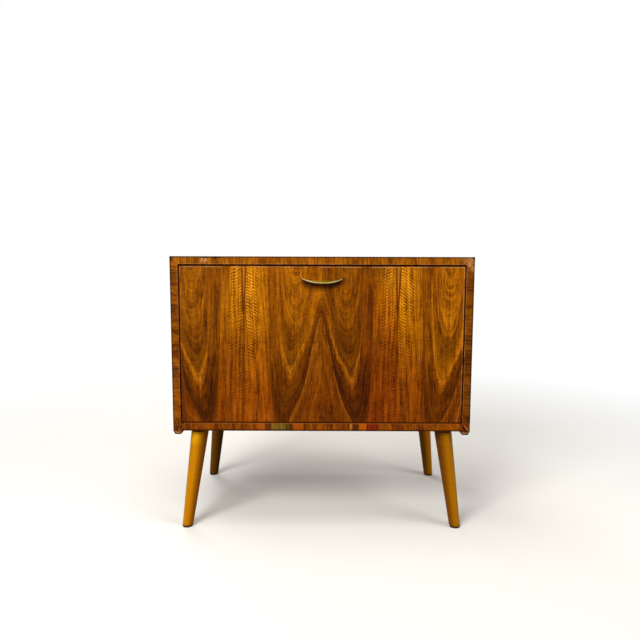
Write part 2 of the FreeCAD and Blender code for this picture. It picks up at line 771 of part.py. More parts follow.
def make_catch(screw):
    """Magnetic catch under the top and its strike plate on the flap."""
    middle_y = "catch_y + catch_depth / 2"
    housing_spot = ("catch_screw_pitch / 2", middle_y, "ceiling_z - catch_flange")
    strike_spot = ("strike_screw_pitch / 2", "flap_back_y + strike_thickness", "magnet_z")
    top_holes = screws_at("catch_screws", screw, paired([housing_spot], UP))
    flap_holes = screws_at("strike_screws", screw, paired([strike_spot], FRONT))
    flange_size = ("catch_depth", "catch_flange")
    flange = across(
        "catch_flange_plate",
        "catch_width / 2",
        flange_size,
        "catch_y",
        "ceiling_z - catch_flange",
    )
    block = across(
        "catch_block_body",
        "catch_block / 2",
        ("catch_depth", "catch_height"),
        "catch_y",
        "ceiling_z - catch_height",
    )
    magnet = across(
        "magnet",
        "magnet_width / 2",
        ("magnet_depth", "magnet_height"),
        "magnet_y",
        "magnet_z - magnet_height / 2",
    )
    strike = across(
        "strike",
        "strike_width / 2",
        ("strike_thickness", "strike_height"),
        "flap_back_y",
        "magnet_z - strike_height / 2",
    )
    housing = fuse("catch_body", [flange, block])
    node("catch_housing", cut("catch_housing", housing, [magnet, top_holes]))
    node("catch_magnet", magnet)
    node("strike_plate", cut("strike_plate", strike, [flap_holes]))
    return top_holes, flap_holes


def make_shelf():
    """Glass shelf on four pins between the divider and the right side."""
    inner_x = "divider_thickness / 2"
    width = f"wall_x - {inner_x} - 2 * shelf_gap"
    node(
        "glass_shelf",
        box(
            "glass",
            (width, "shelf_rear_y - shelf_front_y", "shelf_thickness"),
            (f"{inner_x} + shelf_gap", "shelf_front_y", "shelf_z"),
        ),
    )
    pin_z = "shelf_z - shelf_pin_radius"
    rows = ("shelf_front_y + shelf_pin_inset", "shelf_rear_y - shelf_pin_inset")
    places = [(("wall_x - shelf_pin_reach", y, pin_z), RIGHT) for y in rows]
    places += [((f"{inner_x} + shelf_pin_reach", y, pin_z), LEFT) for y in rows]
    return pegs_at("shelf_pins", "shelf_pin_radius", "shelf_pin_reach + shelf_pin_depth", places)


# ---------------------------------------------------------------- case boards


def make_boards(rebate, back_holes, dowel_holes, tongues, shelf_holes, tools):
    """Core boards, veneers, edge bands and corner rails of the case."""
    core, depth = "(board - veneer)", "case_depth - edge_band"
    behind_band = "front_y + edge_band"
    inner_height = "(ceiling_z - deck_z)"

    side = section(
        "side_blank",
        [("0", "0"), (core, "0"), (core, f"{inner_height} + {core}"), ("0", inner_height)],
        depth,
        ("wall_x", behind_band, "deck_z"),
    )
    side_tools = [rebate, back_holes, dowel_holes, tongues, tools["stay"]] + tools["case_plate"]
    right_side = cut("side_core", side, side_tools)
    node("left_side_core", mirror("left_side_core", right_side))
    node("right_side_core", cut("right_side_core", right_side, [shelf_holes]))

    top = section(
        "top_blank",
        [("-wall_x", "0"), ("wall_x", "0"), (f"wall_x + {core}", core), (f"-wall_x - {core}", core)],
        depth,
        ("0", behind_band, "ceiling_z"),
    )
    node("top_core", cut("top_core", top, [rebate, back_holes, tongues, tools["catch"]]))
    bottom = across("bottom_blank", "rail_x", (depth, "board"), behind_band, "under_z")
    bottom_tools = [rebate, back_holes, dowel_holes] + tools["legs"]
    node("bottom_core", cut("bottom_core", bottom, bottom_tools))

    rail = section(
        "rail_blank",
        [
            ("rail_slope", "0"),
            ("rail_width - rail_chamfer_width", "0"),
            ("rail_width", "rail_chamfer_height"),
            ("rail_width", "rail_drop + board"),
            ("0", "rail_drop + board"),
            ("0", "rail_drop"),
        ],
        "case_depth",
        ("rail_x", "front_y", "under_z - rail_drop"),
    )
    both("corner_rail", cut("corner_rail", rail, [rebate, dowel_holes]))

    divider = across(
        "divider_blank",
        "divider_thickness / 2",
        ("case_depth - divider_setback - back_thickness", inner_height),
        "front_y + divider_setback",
        "deck_z",
    )
    node("divider", cut("divider", divider, [shelf_holes]))


def make_case_skins():
    """Face veneers of the case and the crossbanded strips on its front edges."""
    depth, behind_band = "case_depth - edge_band", "front_y + edge_band"
    inner_height = "(ceiling_z - deck_z)"
    node(
        "top_veneer",
        across("top_sheet", "side_x", (depth, "veneer"), behind_band, "top_z - veneer"),
    )
    sheet_height = f"{inner_height} + board - veneer"
    side_sheet = box(
        "side_sheet",
        ("veneer", depth, sheet_height),
        ("side_x - veneer", behind_band, "deck_z"),
    )
    both("side_veneer", side_sheet)
    top_band = section(
        "top_band",
        [("-wall_x", "0"), ("wall_x", "0"), ("side_x", "board"), ("-side_x", "board")],
        "edge_band",
        ("0", "front_y", "ceiling_z"),
    )
    node("top_edge_band", top_band)
    side_band = section(
        "side_band",
        [("0", "0"), ("board", "0"), ("board", f"{inner_height} + board"), ("0", inner_height)],
        "edge_band",
        ("wall_x", "front_y", "deck_z"),
    )
    both("edge_band", side_band)
    bottom_band = across("bottom_band", "rail_x", ("edge_band", "board"), "front_y", "under_z")
    node("bottom_edge_band", bottom_band)


# ---------------------------------------------------------------- flap


def make_flap(plate_tools, stay_holes, strike_holes, handle_holes):
    """Flap: core, solid lippings round it, a veneer on each face."""
    core_y, core_depth = "flap_face_y + veneer", "flap_thickness - 2 * veneer"
    half, inner_half = "flap_x", "flap_x - lipping"
    inner_low, inner_height = "flap_low_z + lipping", "flap_height - 2 * lipping"

    corner = across(
        "flap_corner",
        "side_x",
        ("pivot_inset", "pivot_inset"),
        "flap_face_y",
        "flap_low_z",
    )
    round_at = ("-(side_x)", "pivot_y", "pivot_z")
    rounding = rod("flap_rounding", "pivot_inset", "case_width", round_at, RIGHT)
    arris = cut("flap_arris", corner, [rounding])

    core = across("flap_core_blank", inner_half, (core_depth, inner_height), core_y, inner_low)
    left_tools = [
        mirror("left_flap_plate_pocket", plate_tools[0]),
        mirror("left_pin_room", plate_tools[1]),
    ]
    core_tools = [handle_holes, stay_holes, strike_holes, *plate_tools, *left_tools]
    node("flap_core", cut("flap_core", core, core_tools))

    strip = (core_depth, "lipping")
    top = across("flap_top_strip", half, strip, core_y, "flap_high_z - lipping")
    node("flap_top_lipping", cut("flap_top_lipping", top, [strike_holes]))
    bottom = across("flap_bottom_strip", half, strip, core_y, "flap_low_z")
    bottom_tools = [arris, *plate_tools[:2], *left_tools]
    node("flap_bottom_lipping", cut("flap_bottom_lipping", bottom, bottom_tools))
    side = box(
        "flap_side_strip",
        ("lipping", core_depth, inner_height),
        (inner_half, core_y, inner_low),
    )
    both("flap_lipping", cut("flap_side_lipping", side, plate_tools))

    sheet_size = ("veneer", "flap_height")
    face = across("flap_face_sheet", half, sheet_size, "flap_face_y", "flap_low_z")
    node("flap_face_veneer", cut("flap_face_veneer", face, [arris, handle_holes]))
    inner = across("flap_inner_sheet", half, sheet_size, "flap_back_y - veneer", "flap_low_z")
    inner_tools = [handle_holes, stay_holes, strike_holes]
    node("flap_inner_veneer", cut("flap_inner_veneer", inner, inner_tools))


def make_handle():
    """Crescent bow handle on two posts, its screws, and the tool for the holes in the flap."""
    upright = "handle_lower_sag + handle_tip_height"
    low_z = "handle_z - handle_lower_sag"
    bow_at = ("0", "flap_face_y - handle_reach + bow_radius", low_z)
    bow = rod("bow_outer", "bow_radius", upright, bow_at)
    hollow = rod("bow_inner", "bow_radius - handle_strip", upright, bow_at)
    lower_at = ("0", "flap_face_y", "handle_z - handle_lower_sag + lower_radius")
    upper_at = ("0", "flap_face_y", "handle_z + handle_tip_height - handle_upper_sag + upper_radius")
    lower = rod("crescent_lower", "lower_radius", "handle_reach", lower_at, FRONT)
    upper = rod("crescent_upper", "upper_radius", "handle_reach", upper_at, FRONT)
    crescent = cut("crescent", lower, [upper])
    strip = common("handle_strip_body", cut("bow", bow, [hollow]), crescent)

    half = "post_spacing / 2"
    posts = [
        rod(f"post_{index}", "post_radius", "post_length", (x, "flap_face_y", "post_z"), FRONT)
        for index, x in enumerate((half, f"-{half}"))
    ]
    spots = [(half, "flap_back_y", "post_z")]
    head, shank = "handle_screw_head_radius", "handle_screw_radius"
    screw = turned(
        "handle_screw",
        [
            ("0", "-handle_screw_head_height"),
            (head, "-handle_screw_head_height"),
            (head, "0"),
            (shank, "0"),
            (shank, "flap_thickness + handle_screw_grip - working_gap"),
            ("0", "flap_thickness + handle_screw_grip - working_gap"),
        ],
    )
    hole = rod(
        "handle_hole",
        "handle_screw_radius + running_fit",
        "flap_thickness + handle_screw_grip",
        ("0", "0", "0"),
    )
    places = paired(spots, FRONT)
    node("handle_screws", copies("handle_screws", screw, places))
    holes = copies("handle_holes", hole, places)
    node("handle", cut("handle", fuse("handle_body", [strip] + posts), [holes]))
    return holes


# ---------------------------------------------------------------- document


def check_document():
    """Stops on any object that failed and on any sub-part without a sound shape."""
    failed = [item.Name for item in doc.Objects if {"Invalid", "Error"} & set(item.State)]
    if failed:
        raise RuntimeError(f"failed objects: {failed}")
    for item in nodes:
        if item.Shape.isNull() or not item.Shape.isValid() or not item.Shape.Solids:
            raise RuntimeError(f"{item.Label} has no valid solid")


def main():
    fill_sheet()
    small_sizes = ("screw_radius", "screw_head_radius", "screw_head_height", "screw_length")
    screw = screw_pair("wood_screw", small_sizes)
    dowel_holes = make_dowels()
    tongues = make_tongues()
    rebate, back_holes = make_back(screw)
    leg_tools = make_legs()
    case_plate_tools, flap_plate_tools = make_hinges(screw)
    stay_case_holes, stay_flap_holes = make_stays(screw)
    catch_holes, strike_holes = make_catch(screw)
    shelf_holes = make_shelf()
    handle_holes = make_handle()
    tools = {
        "stay": stay_case_holes,
        "case_plate": case_plate_tools,
        "catch": catch_holes,
        "legs": leg_tools,
    }
    make_boards(rebate, back_holes, dowel_holes, tongues, shelf_holes, tools)
    make_case_skins()
    make_flap(flap_plate_tools, stay_flap_holes, strike_holes, handle_holes)
    doc.recompute()
    check_document()
    os.makedirs("parts", exist_ok=True)
    for item in nodes:
        item.Shape.exportStep(f"parts/{item.Label}.step")
    print(f"{len(nodes)} sub-parts")


main()
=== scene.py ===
"""Cellarette: finishes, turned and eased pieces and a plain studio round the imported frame.

Lengths are millimetres in the classes below, and become metres where a mesh is made.
"""

import json
import logging
import math
from collections.abc import Callable, Iterable, Sequence
from dataclasses import dataclass, replace
from enum import Enum

import bmesh
import bpy
from mathutils import Matrix, Vector

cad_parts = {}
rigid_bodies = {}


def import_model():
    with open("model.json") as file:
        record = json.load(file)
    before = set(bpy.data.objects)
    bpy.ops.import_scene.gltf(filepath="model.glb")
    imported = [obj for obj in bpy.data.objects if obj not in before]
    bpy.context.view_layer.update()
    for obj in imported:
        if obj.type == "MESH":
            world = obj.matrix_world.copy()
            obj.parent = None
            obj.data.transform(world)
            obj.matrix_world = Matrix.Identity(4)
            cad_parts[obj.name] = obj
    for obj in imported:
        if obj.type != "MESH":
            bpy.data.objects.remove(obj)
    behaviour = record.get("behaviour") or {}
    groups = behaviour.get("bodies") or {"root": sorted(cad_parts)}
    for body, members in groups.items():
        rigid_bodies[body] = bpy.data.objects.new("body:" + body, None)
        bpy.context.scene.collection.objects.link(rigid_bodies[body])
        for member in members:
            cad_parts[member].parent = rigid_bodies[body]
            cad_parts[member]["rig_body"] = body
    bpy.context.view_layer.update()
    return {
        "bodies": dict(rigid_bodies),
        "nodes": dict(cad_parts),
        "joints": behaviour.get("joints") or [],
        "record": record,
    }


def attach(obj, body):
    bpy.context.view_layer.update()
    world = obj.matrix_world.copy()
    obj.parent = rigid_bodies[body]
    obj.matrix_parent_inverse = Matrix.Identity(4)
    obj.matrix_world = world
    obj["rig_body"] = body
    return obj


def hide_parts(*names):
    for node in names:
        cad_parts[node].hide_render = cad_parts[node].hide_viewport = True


log = logging.getLogger("cellarette")

MM = 0.001
ARRIS = "arris"
Colour = tuple[float, float, float]
Point = tuple[float, float, float]
Stops = Sequence[tuple[float, Colour]]
Line = Sequence[tuple[float, float]]


def srgb(red: int, green: int, blue: int) -> Colour:
    """Turns a screen colour of 0 to 255 into linear light.

    Args:
        red: red of the screen colour.
        green: green of the screen colour.
        blue: blue of the screen colour.

    Returns:
        The colour that a shader takes.
    """
    shares = (channel / 255 for channel in (red, green, blue))
    return tuple(share / 12.92 if share <= 0.04045 else ((share + 0.055) / 1.055) ** 2.4 for share in shares)


BLACK: Colour = (0.0, 0.0, 0.0)
WHITE: Colour = (1.0, 1.0, 1.0)


class Axis(Enum):
    """A direction of the frame, by its index in a point."""

    X = 0
    Y = 1
    Z = 2


# ------------------------------------------------------------------ shader graphs


class Signal:
    """An output socket that is written in sums with numbers and other signals."""

    def __init__(self, graph: "Graph", socket: bpy.types.NodeSocket) -> None:
        """Keeps the socket and the graph that it lies in."""
        self.graph = graph
        self.socket = socket

    def __add__(self, other: "Value") -> "Signal":
        """Sum."""
        return self.graph.math("ADD", self, other)

    __radd__ = __add__

    def __sub__(self, other: "Value") -> "Signal":
        """Difference."""
        return self.graph.math("SUBTRACT", self, other)

    def __rsub__(self, other: "Value") -> "Signal":
        """Difference from a number."""
        return self.graph.math("SUBTRACT", other, self)

    def __mul__(self, other: "Value") -> "Signal":
        """Product."""
        return self.graph.math("MULTIPLY", self, other)

    __rmul__ = __mul__

    def __truediv__(self, other: "Value") -> "Signal":
        """Quotient."""
        return self.graph.math("DIVIDE", self, other)

    def __pow__(self, other: "Value") -> "Signal":
        """Power."""
        return self.graph.math("POWER", self, other)

    def __gt__(self, other: "Value") -> "Signal":
        """1 where it is greater, 0 elsewhere."""
        return self.graph.math("GREATER_THAN", self, other)

    def __abs__(self) -> "Signal":
        """Its size without its sign."""
        return self.graph.math("ABSOLUTE", self)

    def clamp(self) -> "Signal":
        """The signal held between 0 and 1."""
        return self.graph.math("ADD", self, 0.0, clamp=True)

    def step(self, low: "Value", high: "Value") -> "Signal":
        """Rises smoothly from one value of the signal to another.

        Args:
            low: where the rise starts at 0.
            high: where the rise ends at 1, which may be the smaller of the two.

        Returns:
            The height of the rise.
        """
        node = self.graph.node("ShaderNodeMapRange", interpolation_type="SMOOTHSTEP")
        self.graph.fill(node, Value=self, From_Min=low, From_Max=high)
        return Signal(self.graph, node.outputs["Result"])

    def pulse(self, width: "Value") -> "Signal":
        """1 where it is 0, falling to 0 at `width` on both sides."""
        return 1 - abs(self).step(0, width)

    def within(self, low: float, high: float, fade: float) -> "Signal":
        """1 from `low` to `high`, with soft ends."""
        return self.step(low - fade, low + fade) - self.step(high - fade, high + fade)

    def mix(self, colour: object, share: "Value", blend: str = "MIX") -> "Signal":
        """This colour with a share of another one."""
        return self.graph.mix(self, colour, share, blend)


Value = Signal | float


class Graph:
    """Short calls that place and join the nodes of one tree."""

    def __init__(self, tree: bpy.types.NodeTree) -> None:
        """Takes the tree that the nodes go into."""
        self.tree = tree

    def node(self, kind: str, **settings: object) -> bpy.types.Node:
        """Adds a node.

        Args:
            kind: class name of the node.
            settings: properties of the node.

        Returns:
            The new node.
        """
        node = self.tree.nodes.new(kind)
        for name, setting in settings.items():
            setattr(node, name, setting)
        return node

    def feed(self, socket: bpy.types.NodeSocket, value: object) -> None:
        """Joins a signal to an input, or sets the input to a plain value.

        Args:
            socket: the input.
            value: a signal, a number or a colour.
        """
        if isinstance(value, Signal):
            self.tree.links.new(value.socket, socket)
        elif isinstance(value, tuple) and socket.type == "RGBA":
            socket.default_value = (*value, 1.0)
        else:
            socket.default_value = value

    def fill(self, node: bpy.types.Node, **inputs: object) -> None:
        """Feeds inputs of a node by name, with _ for a blank."""
        for name, value in inputs.items():
            self.feed(node.inputs[name.replace("_", " ")], value)

    def result(self, node: bpy.types.Node, *values: object) -> Signal:
        """Feeds a node's first inputs.

        Args:
            node: the node.
            values: values or signals in the order of its inputs.

        Returns:
            The node's first output.
        """
        for socket, value in zip(node.inputs, values):
            self.feed(socket, value)
        return Signal(self, node.outputs[0])

    def math(self, operation: str, *values: Value, clamp: bool = False) -> Signal:
        """A sum, product or other plain operation on numbers."""
        return self.result(self.node("ShaderNodeMath", operation=operation, use_clamp=clamp), *values)

    def most(self, first: Value, second: Value) -> Signal:
        """The greater of two."""
        return self.math("MAXIMUM", first, second)

    def least(self, first: Value, second: Value) -> Signal:
        """The smaller of two."""
        return self.math("MINIMUM", first, second)

    def wave(self, turn: Value) -> Signal:
        """Sine of an angle."""
        return self.math("SINE", turn)

    def mix(self, first: object, second: object, share: Value, blend: str = "MIX") -> Signal:
        """Mixes two colours.

        Args:
            first: colour at share 0.
            second: colour at share 1.
            share: how much of the second colour is taken.
            blend: blend type of the mix.

        Returns:
            The mixed colour.
        """
        node = self.node("ShaderNodeMix", data_type="RGBA", blend_type=blend)
        self.feed(node.inputs["Factor"], share)
        self.feed(node.inputs[6], first)
        self.feed(node.inputs[7], second)
        return Signal(self, node.outputs[2])

    def lit(self, colour: object, level: Value) -> Signal:
        """Makes a colour lighter or darker.

        Args:
            colour: the colour.
            level: what it is multiplied by, about 1.

        Returns:
            The new colour.
        """
        node = self.node("ShaderNodeVectorMath", operation="SCALE")
        self.fill(node, Scale=level)
        return self.result(node, colour)

    def ramp(self, value: Value, stops: Stops) -> Signal:
        """A colour picked along a row of stops.

        Args:
            value: where the colour is picked, from 0 to 1.
            stops: places and colours of the stops.

        Returns:
            The colour.
        """
        node = self.node("ShaderNodeValToRGB")
        elements = node.color_ramp.elements
        while len(elements) < len(stops):
            elements.new(0.5)
        for element, (position, colour) in zip(elements, stops):
            element.position = position
            element.color = (*colour, 1.0)
        return self.result(node, value)

    def curve(self, value: Value, points: Line, span: float, rise: float) -> Signal:
        """A number read off a smooth curve.

        Args:
            value: where the curve is read.
            points: the curve's points.
            span: value at the curve's right end.
            rise: height that the curve's points are measured against.

        Returns:
            The height of the curve at the value.
        """
        node = self.node("ShaderNodeFloatCurve")
        line = node.mapping.curves[0]
        while len(line.points) < len(points):
            line.points.new(0.5, 0.5)
        for spot, (along, height) in zip(line.points, points):
            spot.location = (along / span, height / rise)
            spot.handle_type = "AUTO_CLAMPED"
        node.mapping.update()
        self.fill(node, Value=value / span)
        return Signal(self, node.outputs[0]) * rise

    def vector(self, x: Value, y: Value, z: Value) -> Signal:
        """A vector or colour of three numbers."""
        return self.result(self.node("ShaderNodeCombineXYZ"), x, y, z)

    def noise(self, x: Value, y: Value, z: Value = 0.0, detail: float = 2.0) -> Signal:
        """Smooth noise from 0 to 1, one lump about as long as 1.

        Args:
            x: first number that it is read at.
            y: second number.
            z: third number.
            detail: how fine its finest part is.

        Returns:
            The noise.
        """
        node = self.node("ShaderNodeTexNoise")
        self.fill(node, Vector=self.vector(x, y, z), Scale=1.0, Detail=detail)
        return Signal(self, node.outputs[0])

    def swing(self, x: Value, y: Value, z: Value = 0.0, detail: float = 2.0) -> Signal:
        """Noise that swings about 0, seldom past 0.25 either way."""
        return self.noise(x, y, z, detail) - 0.5

    def cloud(self, place: Sequence[Signal], scale: float, detail: float = 2.0) -> Signal:
        """Noise of one scale in all three directions."""
        return self.noise(*(part * scale for part in place), detail)

    def parts(self, whole: Signal) -> tuple[Signal, Signal, Signal]:
        """Takes a vector or colour apart.

        Args:
            whole: the vector or colour.

        Returns:
            Its three numbers.
        """
        split = self.node("ShaderNodeSeparateXYZ")
        self.feed(split.inputs[0], whole)
        return tuple(Signal(self, socket) for socket in split.outputs)

    def group(self, tree: bpy.types.NodeTree, **inputs: object) -> dict[str, Signal]:
        """Places a node group with its own values.

        Args:
            tree: the group.
            inputs: values or signals by socket name.

        Returns:
            The group's outputs by name.
        """
        node = self.node("ShaderNodeGroup", node_tree=tree)
        self.fill(node, **inputs)
        return {socket.name: Signal(self, socket) for socket in node.outputs}


def make_group(name: str, build: Callable[..., dict[str, Signal]], **inputs: object) -> bpy.types.NodeTree:
    """Builds a shader node group once.

    Args:
        name: name of the group.
        build: takes the graph and the inputs as signals, and gives the outputs by name.
        inputs: default value of each input by name, a number or a colour.

    Returns:
        The group's tree.
    """
    tree = bpy.data.node_groups.new(name, "ShaderNodeTree")
    graph = Graph(tree)
    for label, default in inputs.items():
        kind = "NodeSocketColor" if isinstance(default, tuple) else "NodeSocketFloat"
        socket = tree.interface.new_socket(label, in_out="INPUT", socket_type=kind)
        socket.default_value = (*default, 1.0) if isinstance(default, tuple) else default
    start = graph.node("NodeGroupInput")
    results = build(graph, *(Signal(graph, start.outputs[label]) for label in inputs))
    end = graph.node("NodeGroupOutput")
    for label, signal in results.items():
        kind = "NodeSocketColor" if label == "Color" else "NodeSocketFloat"
        tree.interface.new_socket(label, in_out="OUTPUT", socket_type=kind)
        graph.feed(end.inputs[label], signal)
    return tree


@dataclass(frozen=True)
class LeafFigure:
    """Walnut figure of one veneer leaf, measured across from its outer seam and up along it.

    Three nested V-shaped ring lines shape the figure. Beside the outer seam lies curly wood,
    and past the lowest V a wedge of straight reddish grain.
    """

    span: float = 200.0
    rise: float = 4200.0
    middle_red: float = 0.235
    darkest: float = 0.25
    upper: Line = ((0, 4100), (60, 1900), (80, 1000), (90, 760), (96, 658), (109, 577),
                   (125, 543), (145, 584), (153, 658), (170, 740), (200, 900))
    middle: Line = ((0, 3000), (40, 1900), (66, 1000), (79, 658), (84, 560), (90, 461), (100, 415),
                    (110, 390), (129, 422), (148, 462), (160, 500), (170, 540), (181, 581), (200, 630))
    lower: Line = ((0, 1900), (30, 1250), (50, 820), (58, 640), (62, 500), (64, 400), (68, 310),
                   (78, 262), (98, 244), (110, 274), (128, 312), (141, 347), (151, 382), (161, 428),
                   (169, 468), (181, 511), (187, 533), (200, 570))
    rings: Stops = (
        (0.00, srgb(176, 106, 2)), (0.17, srgb(166, 96, 2)), (0.22, srgb(126, 72, 2)),
        (0.25, srgb(170, 102, 4)), (0.29, srgb(158, 90, 2)), (0.34, srgb(134, 74, 2)),
        (0.38, srgb(106, 60, 0)), (0.42, srgb(116, 66, 0)), (0.46, srgb(150, 86, 2)),
        (0.495, srgb(166, 94, 4)), (0.52, srgb(140, 76, 2)), (0.56, srgb(116, 60, 0)),
        (0.63, srgb(96, 50, 0)), (0.73, srgb(86, 42, 0)), (0.76, srgb(116, 58, 2)),
    )
    arm: Colour = srgb(148, 82, 2)
    seam_grain: tuple[Colour, Colour] = (srgb(138, 68, 2), srgb(166, 96, 2))
    wedge_grain: tuple[Colour, Colour] = (srgb(122, 61, 2), srgb(150, 83, 4))
    wedge_shade: Colour = srgb(80, 36, 0)
    wedge_line: Colour = srgb(196, 118, 28)
    golden: Colour = srgb(206, 128, 6)
    mineral: Colour = srgb(82, 32, 0)

    def build(self, graph: Graph, across: Signal, along: Signal, seed: Signal, lift: Signal,
              drop: Signal, curl: Signal, level: Signal, flanks: Signal) -> dict[str, Signal]:
        """Places the figure's nodes.

        Args:
            graph: the group's graph.
            across: millimetres from the leaf's outer seam.
            along: millimetres up the leaf.
            seed: number that tells one leaf from the next.
            lift: millimetres by which the middle V sits higher.
            drop: millimetres by which the wedge's far side sits lower.
            curl: strength of the curly figure.
            level: how light the whole leaf is.
            flanks: strength of the pale lines along the wedge.

        Returns:
            The veneer's colour and the height of its pores.
        """

        def noise(over: float, up: float, shift: float, detail: float = 2) -> Signal:
            """Noise with its own scales across and up the leaf."""
            return graph.noise(across * over, along * up, seed + shift, detail)

        def line(value: Signal, points: Line) -> Signal:
            """Height of one of the V-shaped lines."""
            return graph.curve(value, points, self.span, self.rise)

        # Where the point lies among the three lines, each a little wavy.
        slow = noise(0.03, 0.012, 7) - 0.5
        column = noise(0.3, 0.012, 1, 3) - 0.5
        fibre = noise(0.55, 0.05, 0, 3) - 0.5
        calm = across + (noise(0.02, 0.006, 0) - 0.5) * 5
        u = calm + column * 3
        z = along + slow * 36 + column * 9 + fibre * 5
        upper, lower = line(u, self.upper), line(u, self.lower)
        middle = line(u, self.middle) + lift
        wedge = line(calm, self.lower) - drop * across.step(108, 155) - (along + slow * 10)
        inner_side = u.step(84, 112)
        ring = ((upper - z) / (upper - middle)).clamp() + ((middle - z) / (middle - lower)).clamp()
        ring = ring - graph.most((z - upper) / 110, 0) + 1

        # Fine lines, pores and streaks.
        fine = ring * 15 + graph.most(wedge, 0) / (80 - inner_side * 60)
        thread = graph.swing(fine, along * 0.006, seed, 3)
        band = graph.swing(fine * 0.3, along * 0.004, seed + 3)
        mottle = noise(0.04, 0.03, 5) - 0.5
        cloud = noise(0.08, 0.16, 2, 3) - 0.5
        streak = noise(0.2, 0.01, 8).step(0.54, 0.68)
        hair = noise(0.46, 0.014, 4).step(0.57, 0.66)
        pale = noise(0.5, 0.012, 14).step(0.58, 0.68)
        pore = noise(0.9, 0.11, 9).step(0.58, 0.7)

        # Ring colours, straight grain past the lowest line, and the lines along the wedge.
        high = along.step(330, 580)
        plain = graph.mix(*self.seam_grain, high).mix(graph.mix(*self.wedge_grain, high), inner_side)
        left_arm = u.step(92, 74)
        arms = along.step(430 - left_arm * 110, 600 - left_arm * 120) * 0.7
        colour = graph.ramp(ring / 4, self.rings).mix(self.arm, arms)
        seam_side = (lower - z).step(-30, 60) * u.step(84, 56)
        colour = colour.mix(plain, graph.most(wedge.step(0, 7) * inner_side, seam_side))
        colour = colour.mix(self.wedge_shade, (wedge + 24).pulse(24) * inner_side * 0.4)
        flank = (wedge - 2).pulse(10) + (wedge - 70).pulse(14) * 0.4
        flank = flank * inner_side * (along.step(290, 450) * 0.65 + 0.35)
        colour = colour.mix(self.wedge_line, flank * flanks * 0.62)

        # Curly bars beside the seam, and all that makes the wood lighter or darker.
        jog = (noise(0.06, 0.02, 2) - 0.5) * 8
        wave = graph.wave((along + across * 0.6) * 0.84 + jog * 1.6)
        broad = graph.wave((along + across * 0.85) * 0.062 + slow * 5)
        near = u.step(1, 7) * (1 - u.step(22, 52))
        golden = near * along.step(480, 620)
        bars = near * (along.step(320, 600) * 0.55 + 0.45) * noise(0.13, 0.03, 6).step(0.36, 0.54) * curl
        ripple = graph.wave((along - across * 0.3) * 1.05 + jog * 1.5) * 0.09
        light = 1 + thread * 2 + band + column * 1.4 + fibre * 1.3 + mottle * 0.8 + cloud * 0.8
        light = light + (wave.step(0, 0.9) * 0.66 - (0 - wave).step(0.1, 1) * 0.46) * bars
        light = light + broad * near * 0.1 + ripple + golden * 0.08 + pale * 0.24 - pore * 0.2 - 0.04
        colour = colour.mix(self.golden, golden * 0.3)
        colour = colour.mix(self.mineral, (streak * 0.32 + hair * 0.38).clamp())
        colour = graph.lit(colour, graph.most(light, self.darkest) * level)

        # Dark wood is redder than light wood.
        red, green, blue = graph.parts(colour)
        depth = red / self.middle_red
        colour = graph.vector(red, green * depth ** 0.15 * 0.96, blue * depth ** 1.2)
        return {"Color": colour, "Height": fibre * 0.6 - pore + bars * wave * 0.15}


class Grain:
    """Plain wood with its fibres along one axis, from long noise and dark pores."""

    def build(self, graph: Graph, across: Signal, depth: Signal, along: Signal, seed: Signal,
              dark: Signal, light: Signal, contrast: Signal) -> dict[str, Signal]:
        """Places the grain's nodes.

        Args:
            graph: the group's graph.
            across: millimetres across the fibres.
            depth: millimetres the other way across the fibres.
            along: millimetres along the fibres.
            seed: number that tells one board from the next.
            dark: colour of the late wood.
            light: colour of the early wood.
            contrast: strength of the lines.

        Returns:
            The wood's colour and the height of its pores.
        """
        sway = graph.noise(across * 0.02, along * 0.004, seed) * 26
        rings = graph.swing((across + sway) * 0.16, depth * 0.16, along * 0.0022 + seed, 3)
        fibre = graph.swing(across * 1.1, depth * 1.1, along * 0.02 + seed, 3)
        pore = graph.noise(across * 1.9, depth * 1.9, along * 0.09 + seed).step(0.6, 0.72)
        tone = (rings * contrast * 2.2 + fibre * contrast + 0.5).clamp()
        colour = graph.lit(graph.mix(dark, light, tone), 1 - pore * contrast * 0.16)
        return {"Color": colour, "Height": fibre * 0.5 - pore}


class Wear:
    """Rubbed arrises and hand marks that every finish shares. On some finishes the arris colour is painted
    light: painted shade on the flap's edge, a painted highlight on the handle's facet and on the edge bands'
    inner arrises.
    """

    def build(self, graph: Graph, base: Signal, rubbed: Signal, arris: Signal, x: Signal,
              y: Signal, z: Signal, gloss: Signal) -> dict[str, Signal]:
        """Places the wear's nodes.

        Args:
            graph: the group's graph.
            base: colour of the sound finish.
            rubbed: colour that shows where an arris is rubbed.
            arris: 1 on an arris, 0 elsewhere.
            x: millimetres along X.
            y: millimetres along Y.
            z: millimetres along Z.
            gloss: roughness of the sound finish.

        Returns:
            The worn colour and its roughness.
        """
        patches = graph.cloud((x, y, z), 0.05, 3)
        grime = graph.cloud((x, y, z), 0.009, 3)
        share = arris * patches.step(0.34, 0.66)
        colour = graph.lit(base.mix(rubbed, share), 1 + (grime - 0.5) * 0.16)
        rough = gloss + (patches - 0.5) * 0.14 + share * 0.1
        return {"Color": colour, "Roughness": rough.clamp()}


class Groups:
    """The node groups that the finishes share, each built once."""

    def __init__(self) -> None:
        """Builds the three groups."""
        self.leaf = make_group("walnut_leaf", LeafFigure().build, Across=0.0, Along=0.0, Seed=0.0,
                               Lift=0.0, Drop=0.0, Curl=1.0, Level=1.0, Flanks=1.0)
        self.grain = make_group("plain_grain", Grain().build, Across=0.0, Depth=0.0, Along=0.0,
                                Seed=0.0, Dark=BLACK, Light=BLACK, Contrast=1.0)
        self.wear = make_group("wear", Wear().build, Base=BLACK, Rubbed=BLACK, Arris=0.0, X=0.0,
                               Y=0.0, Z=0.0, Gloss=0.4)


# ------------------------------------------------------------------ finishes


